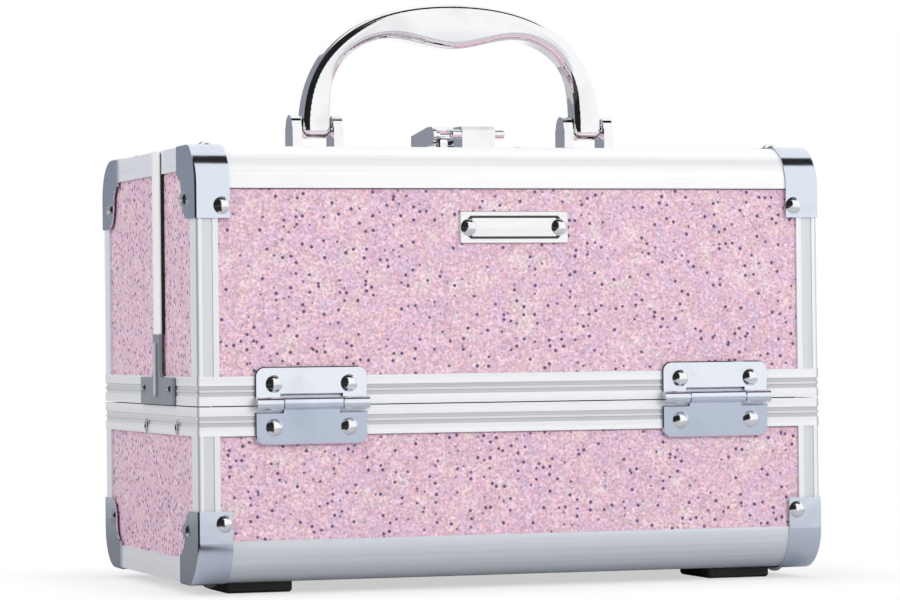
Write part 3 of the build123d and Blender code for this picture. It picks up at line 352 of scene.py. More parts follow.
def feed(tree, node, inputs):
    """Link a node's inputs to other nodes' outputs, or set them to plain values"""
    for socket, value in inputs.items():
        if isinstance(value, bpy.types.NodeSocket):
            tree.links.new(value, node.inputs[socket])
        else:
            node.inputs[socket].default_value = value


def put(tree, kind, inputs=None, **options):
    """Add a node, set its options and feed its inputs"""
    node = tree.nodes.new(kind)
    for option, value in options.items():
        setattr(node, option, value)
    feed(tree, node, inputs or {})
    return node


def math_node(tree, operation, first, second=0.0):
    return put(tree, "ShaderNodeMath", {0: first, 1: second}, operation=operation).outputs[0]


def vector_node(tree, operation, inputs):
    return put(tree, "ShaderNodeVectorMath", inputs, operation=operation).outputs[0]


def mix_colour(tree, share, first, second, blend_type="MIX"):
    """Blend of two colours: sockets or plain colours"""
    inputs = {0: share, 6: first, 7: second}
    return put(tree, "ShaderNodeMix", inputs, data_type="RGBA", blend_type=blend_type).outputs[2]


def mix_value(tree, share, first, second):
    """Blend of two values: sockets or plain numbers"""
    return put(tree, "ShaderNodeMix", {0: share, 2: first, 3: second}, data_type="FLOAT").outputs[0]


def rescale(tree, value, from_low, from_high, to_low, to_high, smooth=False):
    """Carry a value from one span to another, held at the ends"""
    inputs = {0: value, 1: from_low, 2: from_high, 3: to_low, 4: to_high}
    kind = "SMOOTHSTEP" if smooth else "LINEAR"
    return put(tree, "ShaderNodeMapRange", inputs, interpolation_type=kind).outputs[0]


def fade_in(tree, value, span, most=1.0, smooth=True):
    """Mask that sets in as a value crosses a span"""
    return rescale(tree, value, *span, 0.0, most, smooth)


def fade_out(tree, value, span, most=1.0, smooth=True):
    """Mask that runs out as a value crosses a span"""
    return rescale(tree, value, *span, most, 0.0, smooth)


def between(tree, share, first, second):
    """Number that goes from one to another as a share goes from none to all"""
    return rescale(tree, share, 0.0, 1.0, first, second)


def noise(tree, place, scale, detail, roughness=0.5):
    inputs = {"Vector": place, "Scale": scale, "Detail": detail, "Roughness": roughness}
    return put(tree, "ShaderNodeTexNoise", inputs).outputs[0]


def voronoi(tree, place, scale, **options):
    return put(tree, "ShaderNodeTexVoronoi", {"Vector": place, "Scale": scale}, **options).outputs


def object_place(tree):
    return put(tree, "ShaderNodeTexCoord").outputs["Object"]


def axes(tree, vector):
    """The three parts of a vector"""
    return put(tree, "ShaderNodeSeparateXYZ", {0: vector}).outputs


def surface_normal(tree):
    return put(tree, "ShaderNodeNewGeometry").outputs["Normal"]


def beyond(tree, place, half):
    """How far a place on one axis lies outside a half width, less than nothing inside it"""
    return math_node(tree, "SUBTRACT", math_node(tree, "ABSOLUTE", place), half)


def apart(tree, value, other):
    """Distance between two values"""
    return math_node(tree, "ABSOLUTE", math_node(tree, "SUBTRACT", value, other))


def grey(tree, tone):
    return put(tree, "ShaderNodeCombineColor", {0: tone, 1: tone, 2: tone}).outputs[0]


def opaque(colour):
    return (*colour, 1.0)


# Effects that several finishes share

def start_group(name, inputs, outputs):
    """Shader node group with named sockets, and its two ends"""
    group = bpy.data.node_groups.new(name, "ShaderNodeTree")
    for label, kind, default in inputs:
        socket = group.interface.new_socket(label, in_out="INPUT", socket_type=kind)
        socket.default_value = default
    for label, kind in outputs:
        group.interface.new_socket(label, in_out="OUTPUT", socket_type=kind)
    return group, group.nodes.new("NodeGroupInput"), group.nodes.new("NodeGroupOutput")


def use_group(tree, name, build, inputs):
    """Outputs of a shared group, which is built the first time it is asked for"""
    group = bpy.data.node_groups.get(name) or build(name)
    return put(tree, "ShaderNodeGroup", inputs, node_tree=group).outputs


def build_draw_lines(name):
    """Fine lines along a drawn or brushed metal: Lines says how many fit in a metre on each axis"""
    group, start, end = start_group(
        name,
        [("Lines", "NodeSocketVector", (1.0, 1.0, 1.0))],
        [("Grain", "NodeSocketFloat"), ("Streak", "NodeSocketFloat")],
    )
    stretched = vector_node(group, "MULTIPLY", {0: object_place(group), 1: start.outputs["Lines"]})
    fine = noise(group, stretched, scale=1.0, detail=2.0)
    wide = noise(group, stretched, scale=0.12, detail=1.0)
    feed(group, end, {"Grain": fine, "Streak": wide})
    return group


def build_handling(name):
    """Masks of faint smudges and hairline scuffs from use"""
    group, start, end = start_group(
        name,
        [("Smudge size", "NodeSocketFloat", 0.02)],
        [("Smudge", "NodeSocketFloat"), ("Scuff", "NodeSocketFloat")],
    )
    place = object_place(group)
    scale = math_node(group, "DIVIDE", 1.0, start.outputs["Smudge size"])
    cloud = noise(group, place, scale, detail=4.0, roughness=0.6)
    marks = {"Vector": place, "Rotation": SCUFF_TURN, "Scale": SCUFF_STRETCH}
    hair = noise(group, put(group, "ShaderNodeMapping", marks).outputs[0], scale=1.0, detail=1.0)
    smudge = fade_in(group, cloud, SMUDGE_NOISE)
    scuff = fade_in(group, hair, SCUFF_NOISE, smooth=False)
    feed(group, end, {"Smudge": smudge, "Scuff": scuff})
    return group


def build_moulded_grain(name):
    """Pebbled grain of a moulded or pressed surface"""
    group, start, end = start_group(
        name,
        [("Grain size", "NodeSocketFloat", 0.0007)],
        [("Height", "NodeSocketFloat"), ("Tone", "NodeSocketFloat")],
    )
    place = object_place(group)
    scale = math_node(group, "DIVIDE", 1.0, start.outputs["Grain size"])
    pebble = voronoi(group, place, scale, feature="SMOOTH_F1")["Distance"]
    feed(group, end, {"Height": pebble, "Tone": noise(group, place, scale=55.0, detail=3.0)})
    return group


# Finishes

def start_material(name):
    """Empty node material with its surface shader"""
    material = bpy.data.materials.new(name)
    material.use_nodes = True
    shader = material.node_tree.nodes["Principled BSDF"]
    return material, material.node_tree, shader


def bump(tree, height, strength, distance):
    inputs = {"Height": height, "Strength": strength, "Distance": distance}
    return put(tree, "ShaderNodeBump", inputs).outputs[0]


def rougher(tree, roughness, mask, amount):
    """Roughness raised where a mask lies"""
    return math_node(tree, "ADD", math_node(tree, "MULTIPLY", mask, amount), roughness)


def painted_lip_shadows(tree, look):
    """Mask of painted shadow on the long sides: under the lids' top edges and under the base's rim, where
    the profiles' lips overhang the film
    """
    place = axes(tree, object_place(tree))
    side_y = RIM_HIGH[1] - SIDE_REACH
    on_side = math_node(tree, "GREATER_THAN", math_node(tree, "ABSOLUTE", place[1]), side_y)
    span = (JOINT_SHADOW_CORE * look.joint_shadow_width, look.joint_shadow_width)
    lip_shadows = 0.0
    for node, shade in (("front_lid_top_edge", look.top_joint_shadow), ("base_rim", look.rim_joint_shadow)):
        lip_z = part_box(node)[0][2]
        joint = fade_out(tree, apart(tree, place[2], lip_z), span, shade, smooth=False)
        lip_shadows = math_node(tree, "MAXIMUM", joint, lip_shadows)
    return math_node(tree, "MULTIPLY", on_side, lip_shadows)


def flakes(tree, pitch, radius, low, high, shift):
    """Mask of round flakes in the cells whose own number lies in a span, and another number of each cell"""
    moved = {"Vector": object_place(tree), "Location": (shift, shift, shift)}
    place = put(tree, "ShaderNodeMapping", moved).outputs[0]
    cells = voronoi(tree, place, 1 / pitch)
    numbers = put(tree, "ShaderNodeSeparateColor", {0: cells["Color"]}).outputs
    near = fade_out(tree, cells["Distance"], (FLAKE_CORE * radius / pitch, radius / pitch))
    above = math_node(tree, "GREATER_THAN", numbers[0], low)
    below = math_node(tree, "LESS_THAN", numbers[0], high)
    chosen = math_node(tree, "MULTIPLY", above, below)
    return math_node(tree, "MULTIPLY", near, chosen), numbers[1]


def glitter_film(look):
    """Pale film with colour drifts, fine tilted grains, and pale, half-dark and dark flakes, the pale ones
    partly a painted glint
    """
    material, tree, shader = start_material("glitter_film")
    place = object_place(tree)

    blotch = noise(tree, place, 1 / look.blotch_size, detail=4.0)
    drift = noise(tree, place, 1 / look.drift_size, detail=3.0)
    stroke = noise(tree, place, 1 / look.stroke_size, detail=2.0)
    grain = voronoi(tree, place, 1 / look.grain_size)["Color"]
    numbers = put(tree, "ShaderNodeSeparateColor", {0: grain}).outputs
    tone = between(tree, numbers[0], *GRAIN_TONES)
    tone = math_node(tree, "MULTIPLY", tone, rescale(tree, stroke, *STROKE_NOISE, *STROKE_TONES))

    colour = opaque(look.pink)
    for mask, tint in (
        (fade_in(tree, blotch, WARM_BLOTCH, look.warm_share), look.peach),
        (fade_out(tree, blotch, COOL_BLOTCH, look.cool_share), look.lilac),
        (fade_out(tree, drift, VIOLET_DRIFT, look.violet_share), look.lilac),
        (fade_in(tree, drift, PALE_DRIFT, look.cream_share), look.cream),
    ):
        colour = mix_colour(tree, mask, colour, opaque(tint))
    colour = mix_colour(tree, 1.0, colour, grey(tree, tone), "MULTIPLY")
    pale = fade_in(tree, numbers[1], PALE_GRAIN, look.pale_share, smooth=False)
    colour = mix_colour(tree, pale, colour, opaque(look.spark))
    rosy = fade_in(tree, numbers[2], ROSY_GRAIN, look.rose_share, smooth=False)
    colour = mix_colour(tree, rosy, colour, opaque(look.rose))

    # Pale flakes: partly their own colour, partly a painted glint
    first_spark = 1.0 - look.spark_share
    sparks, number = flakes(tree, look.spark_pitch, look.spark_radius, first_spark, 1.0, SPARK_SHIFT)
    sparks = math_node(tree, "MULTIPLY", sparks, between(tree, number, *SPARK_STRENGTHS))
    colour = mix_colour(tree, sparks, colour, opaque(look.spark))
    small, number = flakes(tree, look.mauve_pitch, look.mauve_radius, 0.0, look.mauve_share, MAUVE_SHIFT)
    colour = mix_colour(tree, math_node(tree, "MULTIPLY", small, number), colour, opaque(look.mauve))
    dark, number = flakes(tree, look.fleck_pitch, look.fleck_radius, 0.0, look.fleck_share, FLECK_SHIFT)
    colour = mix_colour(tree, dark, colour, mix_colour(tree, number, opaque(look.fleck), opaque(look.navy)))
    # Painted shadow under the profiles' lips
    colour = mix_colour(tree, painted_lip_shadows(tree, look), colour, opaque(look.joint))

    tilt = vector_node(tree, "SUBTRACT", {0: grain, 1: (0.5, 0.5, 0.5)})
    tilt = vector_node(tree, "SCALE", {0: tilt, 3: GRAIN_TILT})
    facet = vector_node(tree, "ADD", {0: surface_normal(tree), 1: tilt})
    facet = vector_node(tree, "NORMALIZE", {0: facet})
    rough = between(tree, numbers[2], *FILM_ROUGHNESS)
    gloss = {"Roughness": rough, "Specular IOR Level": FILM_GLOSS}
    feed(tree, shader, {"Base Color": colour, "Normal": facet, **gloss})
    return material


def painted_groove_shade(tree, dull_and_shade):
    """Painted shade: darker deep in a groove, less so on the ends, and along the rounded upright corners of
    the case
    """
    place = axes(tree, object_place(tree))
    past_end = beyond(tree, place[0], RIM_HIGH[0])
    past_side = beyond(tree, place[1], RIM_HIGH[1])
    deep = math_node(tree, "LESS_THAN", math_node(tree, "MAXIMUM", past_end, past_side), -GROOVE_DEPTH)
    inner = math_node(tree, "MINIMUM", past_end, past_side)
    corner = rescale(tree, inner, *CORNER_DEPTHS, 1.0, CORNER_SHADE)
    on_side = math_node(tree, "GREATER_THAN", past_side, -SIDE_DEPTH)
    share = math_node(tree, "MULTIPLY", deep, between(tree, on_side, END_GROOVE_SHARE, 1.0))
    return math_node(tree, "MULTIPLY", between(tree, share, 1.0, dull_and_shade), corner)


def painted_bead_shade(tree, dull_and_shade):
    """Painted shade: darker on the bead that runs along the middle of each rim, above and below the seam"""
    seam_z = (RIM_HIGH[2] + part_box("front_lid_rim")[0][2]) / 2
    bead_gap = seam_z - (RIM_LOW[2] + RIM_HIGH[2]) / 2
    height = axes(tree, object_place(tree))[2]
    from_bead = apart(tree, apart(tree, height, seam_z), bead_gap)
    return rescale(tree, from_bead, BEAD_HALF_WIDTH, BEAD_HALF_WIDTH + BEAD_SOFT_EDGE, dull_and_shade, 1.0)


def satin_metal(name, colour, roughness, lines, mirror, groove_shade=None, bead_shade=None):
    """Satin metal with drawing lines along its length, and painted shade in its grooves and on their bead
    """
    material, tree, shader = start_material(name)
    drawn = use_group(tree, "drawing_lines", build_draw_lines, {"Lines": lines})
    used = use_group(tree, "handling", build_handling, {"Smudge size": 30.0 * MM})
    tone = rescale(tree, drawn["Streak"], *LINE_NOISE, *STREAK_TONES)
    # Painted shade in the grooves and on the bead
    if groove_shade:
        tone = math_node(tree, "MULTIPLY", tone, painted_groove_shade(tree, groove_shade))
    if bead_shade:
        tone = math_node(tree, "MULTIPLY", tone, painted_bead_shade(tree, bead_shade))
    toned = mix_colour(tree, 1.0, opaque(colour), grey(tree, tone), "MULTIPLY")
    rough = rescale(tree, drawn["Grain"], *LINE_NOISE, roughness - SMOOTHER_LINE, roughness + ROUGHER_LINE)
    rough = rougher(tree, rough, used["Smudge"], amount=0.05)
    ridged = bump(tree, drawn["Grain"], strength=0.05, distance=0.04 * MM)
    feed(tree, shader, {"Base Color": toned, "Roughness": rough, "Normal": ridged, "Metallic": mirror})
    return material


def engraved_plate(look, outer_y):
    """Brushed plate whose engraved line is filled with dark paint"""
    brushed = (30.0, 30.0, 6000.0)
    line_depth = 0.2 * MM
    most_forward = -0.5
    material = satin_metal("brushed_plate", look.plate, look.plate_roughness, brushed, look.profile_mirror)
    tree = material.node_tree
    shader = tree.nodes["Principled BSDF"]
    depth = axes(tree, object_place(tree))[1]
    below = math_node(tree, "GREATER_THAN", depth, outer_y + line_depth)
    turned = put(
        tree,
        "ShaderNodeVectorTransform",
        {0: surface_normal(tree)},
        vector_type="NORMAL",
        convert_from="WORLD",
        convert_to="OBJECT",
    ).outputs[0]
    forwards = math_node(tree, "LESS_THAN", axes(tree, turned)[1], most_forward)
    painted = math_node(tree, "MULTIPLY", below, forwards)
    bare = shader.inputs["Base Color"].links[0].from_socket
    colour = mix_colour(tree, painted, bare, opaque(look.line))
    feed(tree, shader, {"Base Color": colour, "Metallic": between(tree, painted, look.profile_mirror, 0.0)})
    return material


def polished_metal(name, colour, roughness, wave, lean=0.0):
    """Plated metal: a gently uneven mirror with smudges and hairline scuffs, that may lean down a little"""
    material, tree, shader = start_material(name)
    used = use_group(tree, "handling", build_handling, {"Smudge size": 18.0 * MM})
    dull_and_shade = tuple(SMUDGE_TONE * channel for channel in colour)
    smudged = mix_colour(tree, used["Smudge"], opaque(colour), opaque(dull_and_shade))
    rough = rougher(tree, roughness, used["Smudge"], amount=0.06)
    rough = rougher(tree, rough, used["Scuff"], amount=0.12)
    uneven = noise(tree, object_place(tree), scale=130.0, detail=1.0)
    rippled = bump(tree, uneven, strength=wave, distance=0.2 * MM)
    if lean:
        rippled = vector_node(tree, "ADD", {0: rippled, 1: (0.0, 0.0, -lean)})
        rippled = vector_node(tree, "NORMALIZE", {0: rippled})
    feed(tree, shader, {"Base Color": smudged, "Roughness": rough, "Normal": rippled, "Metallic": 1.0})
    return material


def painted_rib_highlight_steel(look, rib_x):
    """Dull plated steel whose raised rib has a painted highlight: a lighter colour on the rib"""
    ground = (900.0, 5200.0, 60.0)
    rib_span = (rib_x - 0.6 * MM, rib_x - 0.3 * MM)
    material = satin_metal("guide_steel", look.guide, look.guide_roughness, ground, look.profile_mirror)
    tree = material.node_tree
    shader = tree.nodes["Principled BSDF"]
    outward = math_node(tree, "ABSOLUTE", axes(tree, object_place(tree))[0])
    # Painted highlight on the raised rib
    rib_highlight_mask = fade_in(tree, outward, rib_span, smooth=False)
    dull_and_shade = shader.inputs["Base Color"].links[0].from_socket
    feed(tree, shader, {"Base Color": mix_colour(tree, rib_highlight_mask, dull_and_shade, opaque(look.rib_highlight))})
    return material


def moulded(name, colour, grain_size, depth, roughness):
    """Moulded plastic or rubber with a pebbled grain"""
    material, tree, shader = start_material(name)
    grain = use_group(tree, "moulded_grain", build_moulded_grain, {"Grain size": grain_size})
    used = use_group(tree, "handling", build_handling, {"Smudge size": 25.0 * MM})
    deep = tuple(PEBBLE_TONE * channel for channel in colour)
    toned = mix_colour(tree, grain["Tone"], opaque(deep), opaque(colour))
    rough = rougher(tree, roughness, used["Smudge"], amount=0.08)
    pebbled = bump(tree, grain["Height"], strength=0.35, distance=depth)
    feed(tree, shader, {"Base Color": toned, "Roughness": rough, "Normal": pebbled})
    return material


def lining_cloth(look):
    """Short-pile woven lining"""
    material, tree, shader = start_material("lining_cloth")
    place = object_place(tree)
    threads = {"Vector": place, "Scale": 1 / look.thread_size, "Randomness": 0.35}
    weave = put(tree, "ShaderNodeTexVoronoi", threads).outputs["Distance"]
    nap = noise(tree, place, scale=70.0, detail=4.0)
    light = tuple(min(1.0, PILE_LIGHT * channel) for channel in look.lining)
    shade = fade_in(tree, math_node(tree, "MULTIPLY", weave, nap), PILE_SPAN, smooth=False)
    piled = mix_colour(tree, shade, opaque(light), opaque(look.lining))
    woven = bump(tree, weave, strength=0.5, distance=0.2 * MM)
    feed(tree, shader, {"Base Color": piled, "Normal": woven, "Roughness": 0.92, "Sheen Weight": 0.35})
    return material


# Pieces

def dress(names, material):
    """Give frame pieces their finish"""
    for name in names:
        slots = NODES[name].data.materials
        slots.clear()
        slots.append(material)


class TRAINCASE_OT_glitter_panels(bpy.types.Operator):
    """Cover the panels with glitter film"""

    bl_idname = "traincase.glitter_panels"
    bl_label = "Glitter panels"

    def execute(self, context):
        dress(GLITTER_PANELS, glitter_film(context.scene.train_case_glitter))
        return {"FINISHED"}


class TRAINCASE_OT_profiles(bpy.types.Operator):
    """Give the profiles, rims, posts and strips their satin finish"""

    bl_idname = "traincase.profiles"
    bl_label = "Metal profiles"

    def execute(self, context):
        look = context.scene.train_case_metal
        slow, fast = ALONG_LINES, ACROSS_LINES
        along = (slow, fast, fast)
        around = (slow, slow, fast)
        inwards = (fast, slow, fast)
        up = (fast, fast, slow)
        mirror = look.profile_mirror
        for names, name, colour, lines, shine, groove_shade, bead_shade in (
            (TOP_EDGES, "satin_top", look.profile, along, mirror, None, None),
            (BASE_EDGES, "satin_base", look.edge, along, look.edge_mirror, None, None),
            # Rims and posts get painted shade in their grooves
            (RIM_PROFILES, "satin_rim", look.channel, around, mirror, look.rim_groove_shade, look.bead_shade),
            (UPRIGHT_PROFILES, "satin_upright", look.post, up, mirror, look.post_groove_shade, None),
            (END_PROFILES, "satin_end", look.post, inwards, mirror, None, None),
            (["seam_strips"], "satin_strip", look.strip, up, look.strip_mirror, None, None),
        ):
            satin = satin_metal(name, colour, look.profile_roughness, lines, shine, groove_shade, bead_shade)
            dress(names, satin)
        return {"FINISHED"}


class TRAINCASE_OT_fittings(bpy.types.Operator):
    """Plate the pressed steel, hinges, rivets, handle and latch"""

    bl_idname = "traincase.fittings"
    bl_label = "Plated fittings"

    def execute(self, context):
        look = context.scene.train_case_metal
        dress([GUIDE_PLATES], painted_rib_highlight_steel(look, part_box(GUIDE_PLATES)[1][0]))
        calm = look.plated_wave
        for names, name, colour, roughness, wave, lean in (
            (PRESSED_STEEL, "plated_steel", look.steel, look.steel_roughness, look.steel_wave, 0.0),
            (LID_LEAVES, "hinge_steel", look.leaf, look.leaf_roughness, calm, 0.0),
            # Lower leaves: a bluer copy of the leaf steel, as painted reflection tint
            (BASE_LEAVES, "leaning_steel", look.low_leaf_painted_tint, look.leaf_roughness, calm, look.leaf_lean),
            (RIVETS_AND_PINS, "polished_rivet", look.chrome, look.rivet_roughness, calm, 0.0),
            (CHROME_FITTINGS, "bright_chrome", look.chrome, look.chrome_roughness, calm, 0.0),
        ):
            dress(names, polished_metal(name, colour, roughness, wave, lean))
        return {"FINISHED"}


class TRAINCASE_OT_name_plate(bpy.types.Operator):
    """Brush the bare name plate"""

    bl_idname = "traincase.name_plate"
    bl_label = "Name plate"

    def execute(self, context):
        look = context.scene.train_case_metal
        dress(["name_plate"], engraved_plate(look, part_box("name_plate")[0][1]))
        return {"FINISHED"}


def new_piece(name, shape, material, body):
    """Object from a finished bmesh, riding on a body of the frame"""
    mesh = bpy.data.meshes.new(name)
    shape.to_mesh(mesh)
    shape.free()
    mesh.materials.append(material)
    piece = bpy.data.objects.new(name, mesh)
    bpy.context.scene.collection.objects.link(piece)
    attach(piece, body)
    return piece


def soften(shape, width):
    """Round every sharp edge"""
    edges = [edge for edge in shape.edges if edge.calc_face_angle(0.0) > SHARP_ANGLE]
    bmesh.ops.bevel(
        shape,
        geom=edges,
        offset=width,
        affect="EDGES",
        segments=2,
        profile=0.5,
        material=-1,
        clamp_overlap=True,
    )


class TRAINCASE_OT_linings(bpy.types.Operator):
    """Glue soft linings into the base and the lids"""

    bl_idname = "traincase.linings"
    bl_label = "Soft linings"

    def execute(self, context):
        look = context.scene.train_case_inside
        cloth = lining_cloth(look)
        for node, body in LININGS.items():
            shape = bmesh.new()
            shape.from_mesh(NODES[node].data)
            bmesh.ops.remove_doubles(shape, verts=shape.verts, dist=WELD_GAP)
            bmesh.ops.dissolve_limit(shape, angle_limit=FLAT_ANGLE, verts=shape.verts, edges=shape.edges)
            soften(shape, look.lining_edge)
            piece = new_piece(f"soft_{node}", shape, cloth, body)
            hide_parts(node)
        return {"FINISHED"}


class TRAINCASE_OT_seam_shadow_seal(bpy.types.Operator):
    """Put a dark rubber strip into the seam between the lids, as painted shade for the shadow in the seam's
    gap
    """

    bl_idname = "traincase.seam_seal"
    bl_label = "Seam seal"

    def execute(self, context):
        look = context.scene.train_case_inside
        low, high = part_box("seam_strips")
        outer_x = high[0] - look.shadow_seal_set_back
        inner_x = outer_x - look.shadow_seal_width
        top_z = high[2] - look.shadow_seal_set_back
        under_z = top_z - look.shadow_seal_width
        start_y = low[1] - look.shadow_seal_thickness
        shape = bmesh.new()
        arches = []
        for half_span, crown_z in ((outer_x, top_z), (inner_x, under_z)):
            turns = ((-half_span, low[2]), (-half_span, crown_z), (half_span, crown_z), (half_span, low[2]))
            corners = [shape.verts.new((x, start_y, z)) for x, z in turns]
            arches += [shape.edges.new(ends) for ends in zip(corners, corners[1:])]
        faces = bmesh.ops.bridge_loops(shape, edges=arches)["faces"]
        bulk = bmesh.ops.extrude_face_region(shape, geom=faces)["geom"]
        moved = [part for part in bulk if isinstance(part, bmesh.types.BMVert)]
        bmesh.ops.translate(shape, vec=(0.0, look.shadow_seal_thickness - look.shadow_seal_gap, 0.0), verts=moved)
        bmesh.ops.recalc_face_normals(shape, faces=shape.faces)
        soften(shape, SHADOW_SEAL_EDGE_SHARE * look.shadow_seal_thickness)
        # Painted shade: a black strip for the shadow in the seam's gap
        rubber = moulded("shadow_seal_rubber", look.shadow_seal, look.grain_size, *SHADOW_SEAL_GRAIN)
        new_piece("seam_seal", shape, rubber, "rear_lid")
        return {"FINISHED"}


class TRAINCASE_OT_inside(bpy.types.Operator):
    """Finish the trays, the floor and the feet"""

    bl_idname = "traincase.inside"
    bl_label = "Trays, floor and feet"

    def execute(self, context):
        look = context.scene.train_case_inside
        for names, name, colour, grain in (
            (TRAYS, "tray_plastic", look.tray, TRAY_GRAIN),
            (["rubber_feet"], "foot_rubber", look.rubber, FOOT_GRAIN),
            (["base_floor_panel"], "floor_film", look.film, FILM_GRAIN),
        ):
            dress(names, moulded(name, colour, look.grain_size, *grain))
        return {"FINISHED"}


# Studio

def within(tree, angle, low, high, soft):
    """One between two angles in degrees, fading outside them over a soft edge"""
    low, high, soft = math.radians(low), math.radians(high), math.radians(soft)
    rise = fade_in(tree, angle, (low - soft, low))
    fall = fade_out(tree, angle, (high, high + soft))
    return math_node(tree, "MULTIPLY", rise, fall)


def build_studio_sides(name):
    """Masks of the studio's dark left side and grey far left side, by direction from the middle"""
    group, start, end = start_group(
        name,
        [("Way", "NodeSocketVector", (0.0, 0.0, 0.0))],
        [("Dark", "NodeSocketFloat"), ("Grey", "NodeSocketFloat")],
    )
    way = axes(group, start.outputs["Way"])
    left = math_node(group, "MULTIPLY", way[0], -1.0)
    ahead = math_node(group, "MULTIPLY", way[1], -1.0)
    around = math_node(group, "ARCTAN2", left, ahead)
    dark = within(group, around, *DARK_TURN)
    feed(group, end, {"Dark": dark, "Grey": within(group, around, *GREY_TURN)})
    return group


def studio_room(scene, look):
    """World: white to the eye, softer as a light, and with a studio's dark sides in mirrors"""
    world = bpy.data.worlds.new("studio_room")
    world.use_nodes = True
    scene.world = world
    tree = world.node_tree
    background = tree.nodes["Background"]
    way = put(tree, "ShaderNodeTexCoord").outputs["Generated"]
    sides = use_group(tree, "studio_sides", build_studio_sides, {"Way": way})
    parts = axes(tree, way)
    climb = math_node(tree, "ARCSINE", parts[2])
    over = math_node(tree, "ARCTAN2", parts[2], math_node(tree, "MULTIPLY", parts[1], -1.0))
    dark_wall = math_node(tree, "MULTIPLY", sides["Dark"], within(tree, climb, *DARK_CLIMB))
    grey_wall = math_node(tree, "MULTIPLY", sides["Grey"], within(tree, climb, *GREY_CLIMB))
    dark_roof = within(tree, over, *ROOF_OVER)
    dark_roof = math_node(tree, "MULTIPLY", dark_roof, within(tree, climb, *ROOF_CLIMB))
    mirrored = mix_value(tree, grey_wall, 1.0, GREY_LEVEL)
    mirrored = mix_value(tree, dark_wall, mirrored, DARK_LEVEL)
    mirrored = mix_value(tree, dark_roof, mirrored, DARK_LEVEL)
    rays = put(tree, "ShaderNodeLightPath").outputs
    strength = mix_value(tree, rays["Is Glossy Ray"], look.ambient, mirrored)
    seen = math_node(tree, "MAXIMUM", rays["Is Camera Ray"], rays["Is Transmission Ray"])
    strength = mix_value(tree, seen, strength, 1.0)
    tinted = math_node(tree, "MULTIPLY", rays["Is Glossy Ray"], grey_wall)
    colour = mix_colour(tree, tinted, WHITE, opaque(look.wall_tint))
    feed(tree, background, {"Color": colour, "Strength": strength})


def flat_sheet(name, width, length, place):
    """Level rectangle of the stage with its place in its mesh"""
    mesh = bpy.data.meshes.new(name)
    shape = bmesh.new()
    bmesh.ops.create_grid(shape, x_segments=1, y_segments=1, size=0.5)
    bmesh.ops.scale(shape, vec=(width, length, 1.0), verts=shape.verts)
    bmesh.ops.transform(shape, matrix=place, verts=shape.verts)
    shape.to_mesh(mesh)
    shape.free()
    sheet = bpy.data.objects.new(name, mesh)
    bpy.context.scene.collection.objects.link(sheet)
    return sheet


def gap_to_case(tree, place):
    """Level distance from the case's box, nothing under it"""
    parts = axes(tree, place)
    beside = math_node(tree, "MAXIMUM", beyond(tree, parts[0], CAD_BOX[1][0]), 0.0)
    before = math_node(tree, "MAXIMUM", beyond(tree, parts[1], CAD_BOX[1][1]), 0.0)
    beside = math_node(tree, "MULTIPLY", beside, beside)
    before = math_node(tree, "MULTIPLY", before, before)
    return math_node(tree, "SQRT", math_node(tree, "ADD", beside, before))


def pale_floor(look):
    """Floor that keeps the shadow near the case and runs out into the white room"""
    floor = flat_sheet("floor", FLOOR_WIDTH, FLOOR_WIDTH, Matrix.Translation((0.0, 0.0, -FLOOR_DROP)))
    material = bpy.data.materials.new("pale_floor")
    material.use_nodes = True
    tree = material.node_tree
    tree.nodes.remove(tree.nodes["Principled BSDF"])
    place = object_place(tree)
    gap = gap_to_case(tree, place)
    rays = put(tree, "ShaderNodeLightPath").outputs
    mirror = rays["Is Glossy Ray"]
    seen = math_node(tree, "MAXIMUM", rays["Is Camera Ray"], rays["Is Transmission Ray"])
    clear = rescale(tree, gap, 0.0, look.floor_clear, look.floor_lift, 1.0, smooth=True)
    clear = math_node(tree, "MULTIPLY", seen, clear)

    way = vector_node(tree, "SUBTRACT", {0: place, 1: FLOOR_SIDES_CENTRE})
    sides = use_group(tree, "studio_sides", build_studio_sides, {"Way": way})
    dark = math_node(tree, "MULTIPLY", fade_in(tree, gap, FLOOR_SIDES_GAP), sides["Dark"])
    lit = between(tree, dark, 1.0, DARK_FLOOR_LEVEL)
    lit = math_node(tree, "MULTIPLY", lit, between(tree, sides["Grey"], 1.0, GREY_FLOOR_LEVEL))
    far = math_node(tree, "MULTIPLY", lit, fade_in(tree, gap, (look.mirror_fade, look.mirror_clear)))
    share = math_node(tree, "ADD", clear, math_node(tree, "MULTIPLY", mirror, far))
    near = math_node(tree, "MULTIPLY", lit, look.floor_mirror)
    tone = mix_value(tree, mirror, look.floor_bounce, near)
    tone = mix_value(tree, seen, tone, FLOOR_TONE)
    tint = mix_colour(tree, mirror, WHITE, opaque(look.floor_tint))
    colour = mix_colour(tree, 1.0, grey(tree, tone), tint, "MULTIPLY")
    matt = put(tree, "ShaderNodeBsdfDiffuse", {"Color": colour})
    white = put(tree, "ShaderNodeEmission", {"Color": WHITE, "Strength": 1.0})
    both = put(tree, "ShaderNodeMixShader", {0: share, 1: matt.outputs[0], 2: white.outputs[0]})
    feed(tree, tree.nodes["Material Output"], {"Surface": both.outputs[0]})
    floor.data.materials.append(material)


def soft_lamp(name, stand, power):
    """Square lamp that lights the case and isn't seen in mirrors"""
    place, width = stand
    lamp = bpy.data.lights.new(name, "AREA")
    lamp.shape = "SQUARE"
    lamp.size = width
    lamp.energy = power
    holder = bpy.data.objects.new(name, lamp)
    holder.location = place
    holder.rotation_mode = "QUATERNION"
    holder.rotation_quaternion = (Vector(LAMP_AIM) - Vector(place)).to_track_quat("-Z", "Y")
    holder.visible_glossy = False
    bpy.context.scene.collection.objects.link(holder)


